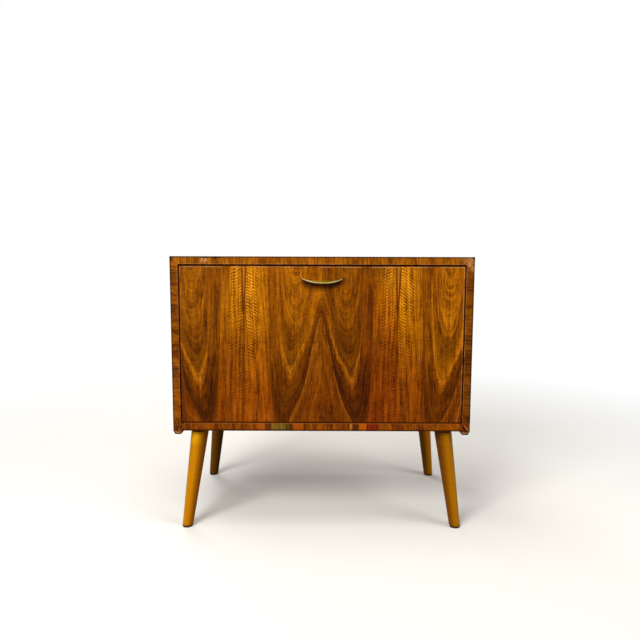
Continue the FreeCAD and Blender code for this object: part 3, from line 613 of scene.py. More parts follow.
class Skin(Graph):
    """The graph of one material, with the surface point and the shared node groups at hand."""

    def __init__(self, name: str, groups: Groups | None = None) -> None:
        """Starts a material.

        Args:
            name: name of the material.
            groups: the shared node groups, where the material uses them.
        """
        self.material = bpy.data.materials.new(name)
        self.material.use_nodes = True
        super().__init__(self.material.node_tree)
        self.shader = self.tree.nodes["Principled BSDF"]
        self.groups = groups
        self.spot = self.x, self.y, self.z = self.place()

    def place(self) -> tuple[Signal, Signal, Signal]:
        """The surface point in millimetres of the frame at rest."""
        point = Signal(self, self.node("ShaderNodeTexCoord").outputs["Object"])
        return tuple(part / MM for part in self.parts(point))

    def facing(self, axis: Axis) -> Signal:
        """1 where the surface faces along an axis, 0 where it lies along it."""
        normal = Signal(self, self.node("ShaderNodeTexCoord").outputs["Normal"])
        return abs(self.parts(normal)[axis.value]).step(0.75, 0.95)

    def worn(self) -> Signal:
        """1 on the eased arrises of a piece, 0 elsewhere."""
        node = self.node("ShaderNodeAttribute", attribute_name=ARRIS)
        return Signal(self, node.outputs["Fac"])


@dataclass(frozen=True)
class Finish:
    """A finish that can be made into a material; the classes below give its colour."""

    name: str
    rubbed: Colour
    gloss: float = 0.36
    shine: float = 0.05
    bump: float = 0.25
    bump_depth: float = 0.2
    metal: float = 0.0

    def surface(self, graph: Skin) -> tuple[Signal, Signal]:
        """Colours the sound surface.

        Args:
            graph: the material's graph.

        Returns:
            The colour and the bump's height.
        """
        raise NotImplementedError

    def worn_colour(self, graph: Skin) -> Signal | Colour:
        """Colour that shows where an arris is rubbed."""
        return self.rubbed

    def material(self, groups: Groups) -> bpy.types.Material:
        """Builds the material.

        Args:
            groups: the shared node groups.

        Returns:
            The new material.
        """
        graph = Skin(self.name, groups)
        colour, height = self.surface(graph)
        worn = graph.group(groups.wear, Base=colour, Rubbed=self.worn_colour(graph), Arris=graph.worn(),
                           X=graph.x, Y=graph.y, Z=graph.z, Gloss=self.gloss)
        bump = graph.node("ShaderNodeBump")
        graph.fill(bump, Strength=self.bump, Distance=self.bump_depth * MM, Height=height)
        graph.fill(graph.shader, Base_Color=worn["Color"], Roughness=worn["Roughness"], Metallic=self.metal,
                   Normal=Signal(graph, bump.outputs[0]), Specular_IOR_Level=self.shine)
        return graph.material


@dataclass(frozen=True)
class Streak:
    """A dark mineral line in a veneer: its place, its ends up the leaf and its half width."""

    x: float
    low: float
    high: float
    width: float = 2.6
    share: float = 0.6


@dataclass(frozen=True)
class FlapVeneer(Finish):
    """Four bookmatched leaves, a sliver let into each outer seam, read on the X-Z face."""

    seam: float = 187.0
    shift: float = 2.7
    half_width: float = 346.2
    top: float = 657.8
    sliver: float = 5.4
    sliver_foot: float = 540.0
    corner_z: float = 406.0
    corner_slope: float = 0.085
    joint_z: float = 338.0
    joint_slope: float = 0.2
    bow_z: float = 625.9
    bow_sag: float = 9.6
    bow_half: float = 48.5
    fade: float = 12.0
    streaks: tuple[Streak, ...] = (
        Streak(-269, 622, 662, 4.4), Streak(-256, 455, 560), Streak(-257, 285, 345, 2.2, 0.4),
        Streak(-101, 580, 620, 3.0), Streak(-107, 540, 574), Streak(-127, 420, 560), Streak(-158, 285, 390),
        Streak(-16, 626, 650, 2.0), Streak(16, 632, 656), Streak(108, 636, 662, 4.0),
        Streak(119, 440, 600, 3.6, 0.7), Streak(99, 520, 590), Streak(268, 636, 662, 3.0),
        Streak(281, 575, 640, 3.6, 0.7), Streak(252, 525, 570), Streak(248, 400, 520), Streak(245, 285, 340),
    )
    warmth: Colour = (1.0, 0.84, 0.9)
    mineral: Colour = srgb(80, 30, 0)
    sap: Colour = srgb(150, 84, 14)
    sap_core: Colour = srgb(206, 138, 50)
    seam_line: Colour = srgb(84, 32, 0)
    middle_line: Colour = srgb(100, 52, 10)
    handle_shadow: Colour = srgb(30, 6, 0)
    corner_wood: Colour = srgb(96, 44, 8)
    corner_line: Colour = srgb(150, 84, 36)
    joint_line: Colour = srgb(184, 116, 54)
    rim_highlight: Colour = srgb(204, 148, 84)
    rim_shade: Colour = srgb(56, 12, 0)

    def figure(self, graph: Skin) -> tuple[Signal, Signal, Signal]:
        """Lays the four leaves, each with its own light.

        Args:
            graph: the material's graph.

        Returns:
            The colour, the bump's height and the distance from the outer seam.
        """
        x, z = graph.x, graph.z
        apart = abs(x + self.shift)
        outer, right = apart > self.seam, x > 0
        inner, left = 1 - outer, 1 - right
        across = abs(apart - self.seam + graph.swing(x * 0.02, z * 0.01) * 5)
        centre = across.step(20, 50) * (1 - across.step(120, 160))
        glow = 0.05 + (1 - across.step(24, 70)) * 0.13
        glow = glow + across.step(120, 150) * (z - 560).pulse(120) * 0.12
        shade = outer * left * ((1 - across.step(40, 110)) * 0.06 + centre * 0.1) - inner * left * glow
        shade = shade + inner * right * (0.1 + z.step(320, 400) * 0.08 + centre * 0.06)
        shade = shade - outer * right * (0.07 + across.step(80, 110) * 0.09) * z.step(610, 540)
        leaf = graph.group(
            graph.groups.leaf, Across=across, Along=z, Seed=outer * 0.55 + right * 0.8,
            Lift=graph.most(outer, right) * -22, Drop=outer * (50 - right * 40),
            Level=1 - shade, Flanks=1 - outer * (0.85 - right * 0.45),
        )
        warm = inner * right * z.step(650, 560) * (1 - across.step(60, 120) * 0.8)
        return leaf["Color"].mix(self.warmth, warm, "MULTIPLY"), leaf["Height"], across

    def seams(self, graph: Skin, colour: Signal, across: Signal) -> Signal:
        """Draws the mineral lines, the slivers and the seams over the leaves.

        Args:
            graph: the material's graph.
            colour: colour of the leaves.
            across: millimetres from the outer seam.

        Returns:
            The colour with its lines.
        """
        x, z = graph.x, graph.z
        wander = graph.swing(x * 0.03, z * 0.012, 8) * 8
        for streak in self.streaks:
            line = (x - streak.x + wander).pulse(streak.width)
            reach = z.within(streak.low, streak.high, self.fade)
            colour = colour.mix(self.mineral, line * reach * streak.share)
        opening = ((z - self.sliver_foot) / (self.top - self.sliver_foot)).clamp()
        edge = across - opening * self.sliver
        colour = colour.mix(self.sap, (1 - edge.step(-0.4, 0.2)) * opening.step(0, 0.06) * 0.6)
        core = (across - opening * 0.8).pulse(1.5) * opening.step(0.25, 0.7)
        colour = colour.mix(self.sap_core, core * 0.5)
        depth = z.step(290, 400) * 0.62 + opening.step(0, 0.1) * 0.3
        colour = colour.mix(self.seam_line, (edge - 0.6).pulse(2.7) * depth)
        return colour.mix(self.middle_line, (x + self.shift).pulse(0.9) * 0.4)

    def marks(self, graph: Skin, colour: Signal) -> Signal:
        """Adds the painted shadow under the handle, the mended lower corners, and along the rim a painted
        highlight in patches with painted shade at the very edge.

        Args:
            graph: the material's graph.
            colour: colour of the sound face.

        Returns:
            The colour with its marks.
        """
        x, z = graph.x, graph.z
        # Painted shadow: dark just below the handle's bow and round its ends.
        below = self.bow_z - self.bow_sag + abs(x / self.bow_half) ** 2.6 * self.bow_sag - z
        handle_shadow = below.step(-3, 1) * below.step(24, 4) * abs(x - 2).step(62, 42)
        colour = colour.mix(self.handle_shadow, handle_shadow * 0.92)
        rim = graph.least(self.half_width - abs(x), self.top - z)
        # Painted highlight along the rim, about 3 mm in from the edge, broken into patches.
        pale = (rim - 3).pulse(2) * graph.noise(x * 0.03, z * 0.03, 3, 3).step(0.34, 0.58) * z.step(300, 400)
        pale = pale * (1 - x.step(-200, -300) * z.step(640, 590) * 0.8)
        fleck = graph.swing(x * 0.5, z * 0.02, 6)
        corner = (self.corner_z - z) * self.corner_slope + 3 - (x + self.half_width)
        low = z.step(self.corner_z + 6, self.corner_z - 4)
        inside = corner.step(-0.3, 0.5) * low
        colour = colour.mix(graph.lit(self.corner_wood, 1 + fleck * 2.4), inside * 0.9)
        colour = colour.mix(self.corner_line, (corner + 0.6).pulse(1.3) * low * 0.4)
        joint = (self.joint_z - z) * self.joint_slope - (self.half_width - x)
        low = z.step(self.joint_z + 4, self.joint_z - 8)
        colour = colour.mix(self.joint_line, joint.pulse(1.8) * low * 0.6)
        colour = colour.mix(self.rim_highlight, pale * (0.6 - inside * 0.4))
        # Painted shade within about 2 mm of the face's edge, by the gap round the flap.
        return graph.mix(self.rim_shade, colour, rim.step(0.6, 2.2) * 0.9 + 0.1)

    def surface(self, graph: Skin) -> tuple[Signal, Signal]:
        """Colours the flap's face.

        Args:
            graph: the material's graph.

        Returns:
            The colour and the bump's height.
        """
        colour, height, across = self.figure(graph)
        return self.marks(graph, self.seams(graph, colour, across)), height


@dataclass(frozen=True)
class SheetVeneer(Finish):
    """Bookmatched leaves on a side or on the top of the case."""

    across: Axis = Axis.Y
    along: Axis = Axis.Z
    middle: float = 10.0
    half_width: float = 190.0
    scale: float = 0.95
    start: float = 0.0
    seed: float = 4.0
    curl: float = 0.6
    seam_line: Colour = srgb(100, 52, 10)

    def surface(self, graph: Skin) -> tuple[Signal, Signal]:
        """Colours the sheet.

        Args:
            graph: the material's graph.

        Returns:
            The colour and the bump's height.
        """
        apart = graph.spot[self.across.value] - self.middle
        along = graph.spot[self.along.value] * self.scale + self.start
        leaf = graph.group(graph.groups.leaf, Across=self.half_width - abs(apart), Along=along,
                           Seed=(apart > 0) * 0.4 + self.seed, Curl=self.curl)
        return leaf["Color"].mix(self.seam_line, apart.pulse(0.8) * 0.4), leaf["Height"]


@dataclass(frozen=True)
class Patch:
    """A repaired stretch of an edge band: from and to along the band, and its colour."""

    low: float
    high: float
    colour: Colour
    streaks: float = 0.7


@dataclass(frozen=True)
class CrossBand(Finish):
    """Edge band of short-grained strips, its fibres across the band.

    Painted shade darkens the case's outer edges, with dirt on the outer arris; a painted highlight in patches
    runs along the inner edges, with rubbed wear on the inner arris. A band can be painted darker on the
    right-hand side, as shade.
    """

    run: Axis = Axis.X
    seed: float = 0.0
    dark: Colour = srgb(92, 42, 4)
    light: Colour = srgb(182, 102, 14)
    right_shade_level: float = 1.0
    inner_highlight: float = 0.25
    side: float = 367.5
    top: float = 680.0
    under: float = 250.9
    band: float = 19.0
    patches: tuple[Patch, ...] = ()
    patch_share: float = 0.85
    patch_fade: float = 0.6
    slit: Colour = srgb(70, 28, 0)
    pale: Colour = srgb(206, 142, 92)
    edge_dirt_and_shade: Colour = srgb(52, 22, 4)
    bruise: tuple[Colour, Colour, Colour] = (srgb(190, 122, 50), srgb(90, 36, 2), srgb(226, 164, 100))
    chip: Colour = srgb(28, 12, 4)
    flaked: Colour = srgb(222, 160, 108)
    flake_x: float = -283.0
    nick: Colour = srgb(40, 16, 6)
    nick_x: float = -255.0

    def outer_depth(self, graph: Skin) -> Signal:
        """Measures inward from the case's outer edge.

        Args:
            graph: the material's graph.

        Returns:
            The depth in millimetres.
        """
        other = graph.z - self.under if self.run is Axis.X else self.side - abs(graph.x)
        return graph.least(self.top - graph.z, other)

    def corners(self, graph: Skin, colour: Signal) -> Signal:
        """Adds the bruised top corners and the flaked and nicked top edge.

        Args:
            graph: the material's graph.
            colour: colour of the sound band.

        Returns:
            The colour with its damage.
        """
        x, z = graph.x, graph.z
        low, right = self.top - z, self.side - x
        cross = graph.noise((right + low) * 0.28, (right - low) * 0.06, 7).step(0.5, 0.6)
        scratch = graph.noise((right - low) * 0.32, (right + low) * 0.05, 3).step(0.5, 0.6)
        for tint, share in zip(self.bruise, (0.5, cross * 0.75, scratch * 0.85)):
            colour = colour.mix(tint, (right + low).step(48, 28) * share)
        tip = graph.least(x + self.side + low * 0.7, (right + low) * 1.2)
        chip = (tip + graph.swing(x * 0.25, z * 0.25) * 14).step(11, 7)
        colour = colour.mix(self.chip, chip * z.step(600, 610) * 0.9)
        spot = abs(x - self.flake_x + graph.swing(x * 0.1, z * 0.3) * 16)
        flaked = graph.noise(x * 0.28, z * 0.1, 5).step(0.42, 0.56)
        flaked = spot.step(14, 6) * low.step(2, 5) * low.step(18, 9) * flaked
        colour = colour.mix(self.flaked, flaked * 0.9)
        nick = (spot.step(8, 5) + (x - self.nick_x).pulse(20)).clamp()
        nick = nick * (low + graph.swing(x * 0.3, 0) * 8).step(6, 4.4)
        return colour.mix(self.nick, nick * 0.85)

    def worn_colour(self, graph: Skin) -> Signal | Colour:
        """Dark on the outer arris, as dirt and painted shade; pale on the inner one, as rubbed wear and
        painted highlight.
        """
        return graph.mix(self.edge_dirt_and_shade, self.rubbed, self.outer_depth(graph).step(4, 12))

    def surface(self, graph: Skin) -> tuple[Signal, Signal]:
        """Colours the band.

        Args:
            graph: the material's graph.

        Returns:
            The colour and the bump's height.
        """
        x, z = graph.x, graph.z
        run, rise = (x, z) if self.run is Axis.X else (z, x)
        lean = run + rise * 0.05
        coarse = graph.swing(lean * 0.05, rise * 0.01, self.seed)
        line = graph.swing(lean * 0.3, rise * 0.04, self.seed + 3, 3)
        hair = graph.swing(lean * 0.8, rise * 0.1, self.seed + 5)
        tone = (coarse * 2.8 + line * 2.7 + hair * 1.3 + 0.46).clamp()
        slit = graph.noise(lean * 0.22, rise * 0.02, self.seed + 8).step(0.58, 0.66)
        colour = graph.mix(self.dark, self.light, tone).mix(self.slit, slit * 0.46)
        for patch in self.patches:
            strip = graph.lit(patch.colour, 1 + (line * 2 + hair) * patch.streaks)
            inside = run.within(patch.low, patch.high, self.patch_fade)
            colour = colour.mix(strip, inside * self.patch_share)
        depth = self.outer_depth(graph)
        patches = graph.noise(run * 0.03, rise * 0.03, self.seed, 3).step(0.34, 0.6)
        # Painted highlight: a pale line about a millimetre inside the band's inner edge, in patches.
        pale = (self.band - 1.3 - depth).pulse(1.8) * patches
        pale = pale * (1 - x.step(-300, -340) * z.step(640, 590) * 0.8)
        colour = colour.mix(self.pale, pale * self.inner_highlight)
        # Painted shade: the band on the right-hand side of the case is darker.
        colour = graph.lit(colour, 1 - x.step(-20, 20) * (1 - self.right_shade_level))
        colour = self.corners(graph, colour)
        # Painted shade: darker within a few millimetres of the case's outer edges.
        return graph.lit(colour, depth.step(1.8, 4.4) * 0.7 + 0.3), (line + hair) * 0.5


@dataclass(frozen=True)
class PlainWood(Finish):
    """Solid or sheet wood with straight fibres along one axis, end grain on its ends.

    In front of a given depth it is darkened, a painted shade in the gap round the flap.
    """

    run: Axis = Axis.Z
    dark: Colour = srgb(110, 56, 14)
    light: Colour = srgb(165, 92, 24)
    end: Colour = srgb(96, 42, 14)
    contrast: float = 1.0
    seed: float = 0.0
    gap_shade: Colour = srgb(52, 8, 0)
    gap_shade_y: float = -1000.0

    def surface(self, graph: Skin) -> tuple[Signal, Signal]:
        """Colours the wood.

        Args:
            graph: the material's graph.

        Returns:
            The colour and the bump's height.
        """
        along = graph.spot[self.run.value]
        across, depth = (graph.spot[axis.value] for axis in Axis if axis is not self.run)
        wood = graph.group(graph.groups.grain, Across=across, Depth=depth, Along=along, Seed=self.seed,
                           Dark=self.dark, Light=self.light, Contrast=self.contrast)
        speck = graph.swing(across * 1.3, depth * 1.3, self.seed, 3)
        rings = graph.swing((across + depth * 0.4) * 0.5, depth * 0.1, self.seed)
        end = graph.lit(self.end, 1 + speck * 1.3 + rings * 1.1)
        colour = wood["Color"].mix(end, graph.facing(self.run))
        # Painted shade: the wood in front of the given depth, which shows in the gap round the flap, is
        # darkened.
        in_gap_shade = 1 - graph.y.step(self.gap_shade_y - 4, self.gap_shade_y)
        return colour.mix(self.gap_shade, in_gap_shade), wood["Height"]


@dataclass(frozen=True)
class RailWood(PlainWood):
    """Corner rail whose front end grain is mottled and, on the right, split across. The left rail is painted
    darker and the right one lighter, as light and shade, and the end face has a dark painted outline of shade
    with pale specks just inside its lower edge.
    """

    outer_x: float = 367.5
    width: float = 26.0
    under: float = 241.0
    outer_cut: tuple[float, float] = (4.7, 8.5)
    inner_cut: tuple[float, float] = (7.0, 9.0)
    split_x: float = 358.2
    split_z: float = 258.0
    split_half: float = 9.5
    slope: tuple[float, float] = (0.813, 0.582)
    painted_side_light: tuple[float, float] = (0.8, 1.12)
    mottle: tuple[Colour, Colour] = (srgb(178, 100, 30), srgb(40, 14, 4))
    rim: tuple[Colour, Colour] = (srgb(206, 158, 116), srgb(24, 8, 0))
    split: tuple[Colour, Colour] = (srgb(40, 12, 4), srgb(186, 122, 56))

    def from_cut(self, deep: Signal, up: Signal, cut: tuple[float, float]) -> Signal:
        """Millimetres inward from a chamfer that takes `cut` off the corner's two sides."""
        return (deep * cut[1] + up * cut[0] - math.prod(cut)) / math.hypot(*cut)

    def surface(self, graph: Skin) -> tuple[Signal, Signal]:
        """Colours the rail.

        Args:
            graph: the material's graph.

        Returns:
            The colour and the bump's height.
        """
        colour, height = PlainWood.surface(self, graph)
        x, y, z = graph.spot
        end = graph.facing(Axis.Y) * y.step(10, -10)
        fleck = graph.noise(x * 0.24, y * 0.1, z * 0.24, 3)
        fine = graph.noise(x * 0.6, y * 0.1, z * 0.6, 3)
        # Painted light and shade: the left rail darker, the right one lighter.
        left, right = self.painted_side_light
        colour = graph.lit(colour, left + (x > 0) * (right - left))
        colour = colour.mix(self.mottle[0], fleck.step(0.53, 0.62) * end * 0.6)
        colour = colour.mix(self.mottle[1], fleck.step(0.48, 0.38) * end * 0.7)

        deep, up = self.outer_x - abs(x), z - self.under
        cuts = graph.least(self.from_cut(deep, up, self.outer_cut),
                           self.from_cut(self.width - deep, up, self.inner_cut))
        rim = graph.least(graph.least(up, deep), cuts)
        low = (rim - 4.6).pulse(2.6) * up.step(9, 6) * end
        # Pale specks just inside the end's lower edge, then a dark painted outline of shade round the end
        # face.
        colour = colour.mix(self.rim[0], low * fine.step(0.36, 0.52) * 0.8)
        colour = colour.mix(self.rim[1], rim.step(3.6, 2.2) * end * 0.95)

        aside, rise = x - self.split_x, z - self.split_z
        off = aside * self.slope[0] + rise * self.slope[1] + (fine - 0.5) * 3
        along = abs(aside * self.slope[1] - rise * self.slope[0])
        end = end * along.step(self.split_half + 1.5, self.split_half - 1.5)
        colour = colour.mix(self.split[0], (off + 4.4).pulse(4.2) * end)
        return colour.mix(self.split[1], off.pulse(1.6) * end * 0.9), height


@dataclass(frozen=True)
class LegWood(Finish):
    """Honey lacquer on the splayed legs, each read from its own centre line. Painted shade darkens their
    inner sides, their outer edges, the rear legs, the right front leg and the tops under the case, a painted
    highlight lightens them towards the top, and they are darker near the foot.
    """

    foot_x: float = 339.0
    foot_y: float = 176.0
    middle_y: float = 8.5
    lean: float = 0.124
    dark: Colour = srgb(190, 118, 0)
    light: Colour = srgb(228, 152, 8)
    contrast: float = 0.45
    top_highlight: Colour = srgb(255, 188, 14)
    inside: Colour = srgb(96, 44, 0)
    inner_shade_warmth: Colour = (1.0, 0.76, 0.8)
    plate_shade: Colour = srgb(56, 18, 0)

    def surface(self, graph: Skin) -> tuple[Signal, Signal]:
        """Colours the leg.

        Args:
            graph: the material's graph.

        Returns:
            The colour and the bump's height.
        """
        x, y, z = graph.spot
        back = y - self.middle_y
        rear, right = back > 0, x > 0
        front = 1 - rear
        across = abs(x) - self.foot_x + z * self.lean
        depth = abs(back) - self.foot_y + z * self.lean
        wood = graph.group(graph.groups.grain, Across=across, Depth=depth, Along=z,
                           Seed=right * 3.1 + rear * 1.7, Dark=self.dark, Light=self.light,
                           Contrast=self.contrast)
        turning = graph.swing(across * 0.02, depth * 0.02, z * 0.4, 3)
        inward, high = across.step(7, -22), z.step(200, 236)
        # Painted shade: darker on each leg's inner side and at its outer edge, and darker near the foot; the
        # turning rings add their own tone.
        side_shade_and_turning = 1 - inward * 0.62 - across.step(11, 20) * 0.25 + turning * 0.3
        side_shade_and_turning = side_shade_and_turning * (0.7 + z.step(3, 12) * 0.3)
        # Painted shade on the rear legs, deepest on the left one, and on the right front leg.
        shaded = 1 - rear * (0.78 - right * 0.48) - right * front * 0.34
        # Painted highlight: yellower and lighter towards the top, less on the right legs.
        colour = wood["Color"].mix(self.top_highlight, high * (1 - right * 0.7))
        colour = graph.lit(colour, side_shade_and_turning * shaded)
        # Painted shade on the inner side: a darker colour, deeper high on the front legs, and a warmer hue on
        # the front legs.
        colour = colour.mix(self.inside, inward * (0.25 + front * high * 0.3))
        colour = colour.mix(self.inner_shade_warmth, inward * front, "MULTIPLY")
        # Painted shadow of the case across the leg's uppermost millimetres.
        return colour.mix(self.plate_shade, z.step(240, 241.4) * 0.95), wood["Height"]


@dataclass(frozen=True)
class Metal(Finish):
    """Metal with fine brush lines and dull spots."""

    base: Colour = srgb(190, 160, 90)
    dull: Colour = srgb(120, 90, 40)
    metal: float = 1.0
    run: Axis = Axis.Z

    def surface(self, graph: Skin) -> tuple[Signal, Signal]:
        """Colours the metal.

        Args:
            graph: the material's graph.

        Returns:
            The colour and the bump's height.
        """
        lines = graph.noise(*(part * (0.12 if axis is self.run else 1.6)
                              for axis, part in zip(Axis, graph.spot)))
        spots = graph.cloud(graph.spot, 0.14, 4) - 0.5
        tone = (spots * 2.4 + (lines - 0.5) * 0.6 + 0.28).clamp()
        return graph.mix(self.base, self.dull, tone), lines


@dataclass(frozen=True)
class HandleBrass(Metal):
    """Brass with an old patina above and a painted highlight on the facet below."""

    patina: Colour = srgb(112, 90, 0)
    facet_highlight: Colour = srgb(238, 214, 130)
    tip_highlight: Colour = srgb(255, 230, 186)

    def worn_colour(self, graph: Skin) -> Signal | Colour:
        """Painted highlight: yellow in the middle of the lower facet, pale at its tips."""
        return graph.mix(self.facet_highlight, self.tip_highlight, abs(graph.x).step(14, 40))

    def surface(self, graph: Skin) -> tuple[Signal, Signal]:
        """Colour and bump height of the handle."""
        colour, lines = Metal.surface(self, graph)
        # Patina all over, then the painted highlight on the marked facet.
        return colour.mix(self.patina, 0.9).mix(self.worn_colour(graph), graph.worn()), lines


@dataclass(frozen=True)
class Plastic(Finish):
    """Moulded plastic with a fine pebbled skin."""

    base: Colour = srgb(52, 44, 40)

    def surface(self, graph: Skin) -> tuple[Signal, Signal]:
        """Colour and bump height of the plastic."""
        shade = 0.85 + graph.cloud(graph.spot, 0.2) * 0.3
        return graph.lit(self.base, shade), graph.cloud(graph.spot, 2.2)


@dataclass(frozen=True)
class Glass:
    """Clear shelf glass, green towards its ground edges."""

    name: str = "shelf_glass"
    clear: Colour = srgb(236, 246, 242)
    edge: Colour = srgb(150, 196, 180)
    refraction: float = 1.5

    def material(self, groups: Groups) -> bpy.types.Material:
        """Builds the material.

        Args:
            groups: the shared node groups.

        Returns:
            The new material.
        """
        graph = Skin(self.name, groups)
        ground = graph.worn()
        smear = graph.cloud(graph.spot, 0.02, 4).step(0.45, 0.75)
        graph.fill(graph.shader, Base_Color=graph.mix(self.clear, self.edge, ground),
                   Roughness=(smear * 0.05 + ground * 0.3 + 0.01).clamp(),
                   Transmission_Weight=1.0, IOR=self.refraction)
        return graph.material


# ------------------------------------------------------------------ shapes


Wanted = Callable[[bmesh.types.BMEdge], bool]


def round_turns(count: int) -> list[float]:
    """Even angles once round a circle."""
    return [math.tau * step / count for step in range(count)]


class Shape:
    """A mesh on the bench, in metres of the frame, with its arrises marked for wear."""

    weld: float = 0.002
    flat: float = 0.6
    facets: int = 2

    def __init__(self) -> None:
        """Starts with nothing on the bench."""
        self.mesh = bmesh.new()
        self.arris = self.mesh.faces.layers.float.new(ARRIS)

    def copy(self, node: bpy.types.Object) -> "Shape":
        """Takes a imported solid's surface, welded and with its flat faces made whole.

        Args:
            node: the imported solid.

        Returns:
            The same shape.
        """
        self.mesh.from_mesh(node.data)
        self.arris = self.mesh.faces.layers.float.get(ARRIS) or self.mesh.faces.layers.float.new(ARRIS)
        bmesh.ops.remove_doubles(self.mesh, verts=self.mesh.verts, dist=self.weld * MM)
        bmesh.ops.dissolve_limit(self.mesh, angle_limit=math.radians(self.flat), verts=self.mesh.verts,
                                 edges=self.mesh.edges)
        return self

    def ease(self, width: float, wanted: Wanted) -> "Shape":
        """Rounds edges over and marks the new faces as arrises.

        Args:
            width: how far the rounding reaches from the edge.
            wanted: tells whether an edge is rounded.

        Returns:
            The same shape.
        """
        edges = [edge for edge in self.mesh.edges if len(edge.link_faces) == 2 and wanted(edge)]
        made = bmesh.ops.bevel(
            self.mesh, geom=edges, offset=width * MM, offset_type="OFFSET", segments=self.facets,
            profile=0.5, affect="EDGES", clamp_overlap=True,
        )
        for face in made["faces"]:
            face[self.arris] = 1.0
        return self

    def loft(self, rings: Sequence[Sequence[Point]], worn_rings: Iterable[int] = (),
             worn_sides: Iterable[int] = (), closed_start: bool = True) -> "Shape":
        """Joins closed rings of the same count into a skin and closes its ends.

        Args:
            rings: rings of points, in millimetres.
            worn_rings: indices of the strips between rings that count as arrises.
            worn_sides: indices of the sides of each ring that count as arrises.
            closed_start: whether the first ring is closed too.

        Returns:
            The same shape.
        """
        rows = [[self.mesh.verts.new(Vector(point) * MM) for point in ring] for ring in rings]
        for index, (low, high) in enumerate(zip(rows, rows[1:])):
            for this in range(len(low)):
                after = (this + 1) % len(low)
                face = self.mesh.faces.new((low[this], low[after], high[after], high[this]))
                face[self.arris] = float(index in worn_rings or this in worn_sides)
        if closed_start:
            self.mesh.faces.new(list(reversed(rows[0])))
        self.mesh.faces.new(rows[-1])
        return self

    def islands(self) -> list[list[bmesh.types.BMVert]]:
        """Sorts the vertices by the solid that they belong to.

        Returns:
            The vertices of each separate solid.
        """
        left = set(self.mesh.verts)
        found = []
        while left:
            start = left.pop()
            group, front = [start], [start]
            while front:
                near = {edge.other_vert(vert) for vert in front for edge in vert.link_edges} & left
                left -= near
                group.extend(near)
                front = list(near)
            found.append(group)
        return found

    def build(self, name: str, smooth: float = 35.0) -> bpy.types.Object:
        """Makes the object.

        Args:
            name: name of the object.
            smooth: degrees between faces above which an edge stays sharp.

        Returns:
            The object, linked to the scene.
        """
        bmesh.ops.recalc_face_normals(self.mesh, faces=self.mesh.faces)
        data = bpy.data.meshes.new(name)
        self.mesh.to_mesh(data)
        self.mesh.free()
        data.polygons.foreach_set("use_smooth", [True] * len(data.polygons))
        data.set_sharp_from_angle(angle=math.radians(smooth))
        piece = bpy.data.objects.new(name, data)
        bpy.context.scene.collection.objects.link(piece)
        piece.modifiers.new("even_shading", "WEIGHTED_NORMAL").keep_sharp = True
        return piece


def long_edge(shortest: float = 3.0, turn: float = 25.0) -> Wanted:
    """Picks edges that are long and sharp.

    Args:
        shortest: millimetres that an edge has at least.
        turn: degrees that the surface turns at least.

    Returns:
        A test for one edge.
    """

    def wanted(edge: bmesh.types.BMEdge) -> bool:
        """Whether this edge is long and sharp."""
        return edge.calc_length() >= shortest * MM and edge.calc_face_angle(0.0) >= math.radians(turn)

    return wanted


def edge_at(axis: Axis, spot: float, shortest: float = 5.0) -> Wanted:
    """Picks long sharp edges that lie in one plane.

    Args:
        axis: the axis across the plane.
        spot: where the plane cuts the axis, in millimetres.
        shortest: millimetres that an edge has at least.

    Returns:
        A test for one edge.
    """
    sharp = long_edge(shortest)

    def wanted(edge: bmesh.types.BMEdge) -> bool:
        """Whether this edge is sharp and lies in the plane."""
        return sharp(edge) and all(abs(vert.co[axis.value] - spot * MM) < 0.05 * MM for vert in edge.verts)

    return wanted


class Workshop:
    """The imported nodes, the shared node groups and each finish's material, made once."""

    def __init__(self, frame: dict) -> None:
        """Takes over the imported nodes.

        Args:
            frame: the loaded frame.
        """
        self.nodes: dict[str, bpy.types.Object] = frame["nodes"]
        self.slots = {name: node.data.materials[0].name for name, node in self.nodes.items()}
        self.groups = Groups()
        self.made: dict[str, bpy.types.Material] = {}

    def material(self, finish: Finish | Glass) -> bpy.types.Material:
        """Gives a finish's material, built at its first use.

        Args:
            finish: the finish.

        Returns:
            Its material.
        """
        if finish.name not in self.made:
            self.made[finish.name] = finish.material(self.groups)
        return self.made[finish.name]

    def paint(self, finish: Finish | Glass, *names: str) -> None:
        """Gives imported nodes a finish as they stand.

        Args:
            finish: the finish.
            names: names of the nodes.
        """
        for name in names:
            self.nodes[name].data.materials[0] = self.material(finish)
            log.info("%s: %s", name, finish.name)

    def fit(self, shape: Shape, name: str, finish: Finish | Glass, node: str,
            smooth: float = 35.0) -> None:
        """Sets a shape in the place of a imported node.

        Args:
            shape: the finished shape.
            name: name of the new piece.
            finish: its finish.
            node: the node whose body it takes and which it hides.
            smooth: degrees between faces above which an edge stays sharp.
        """
        piece = shape.build(name, smooth)
        piece.data.materials.clear()
        piece.data.materials.append(self.material(finish))
        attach(piece, self.nodes[node]["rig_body"])
        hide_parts(node)
        log.info("%s: %s, %d faces", name, finish.name, len(piece.data.polygons))

    def ease(self, finish: Finish | Glass, width: float, wanted: Wanted, *names: str) -> None:
        """Sets eased copies of nodes in their places, under the node's name and `_eased`.

        Args:
            finish: the finish of the copies.
            width: how far the rounding reaches from an edge.
            wanted: tells whether an edge is rounded.
            names: names of the nodes.
        """
        for name in names:
            self.fit(Shape().copy(self.nodes[name]).ease(width, wanted), f"{name}_eased", finish, name)


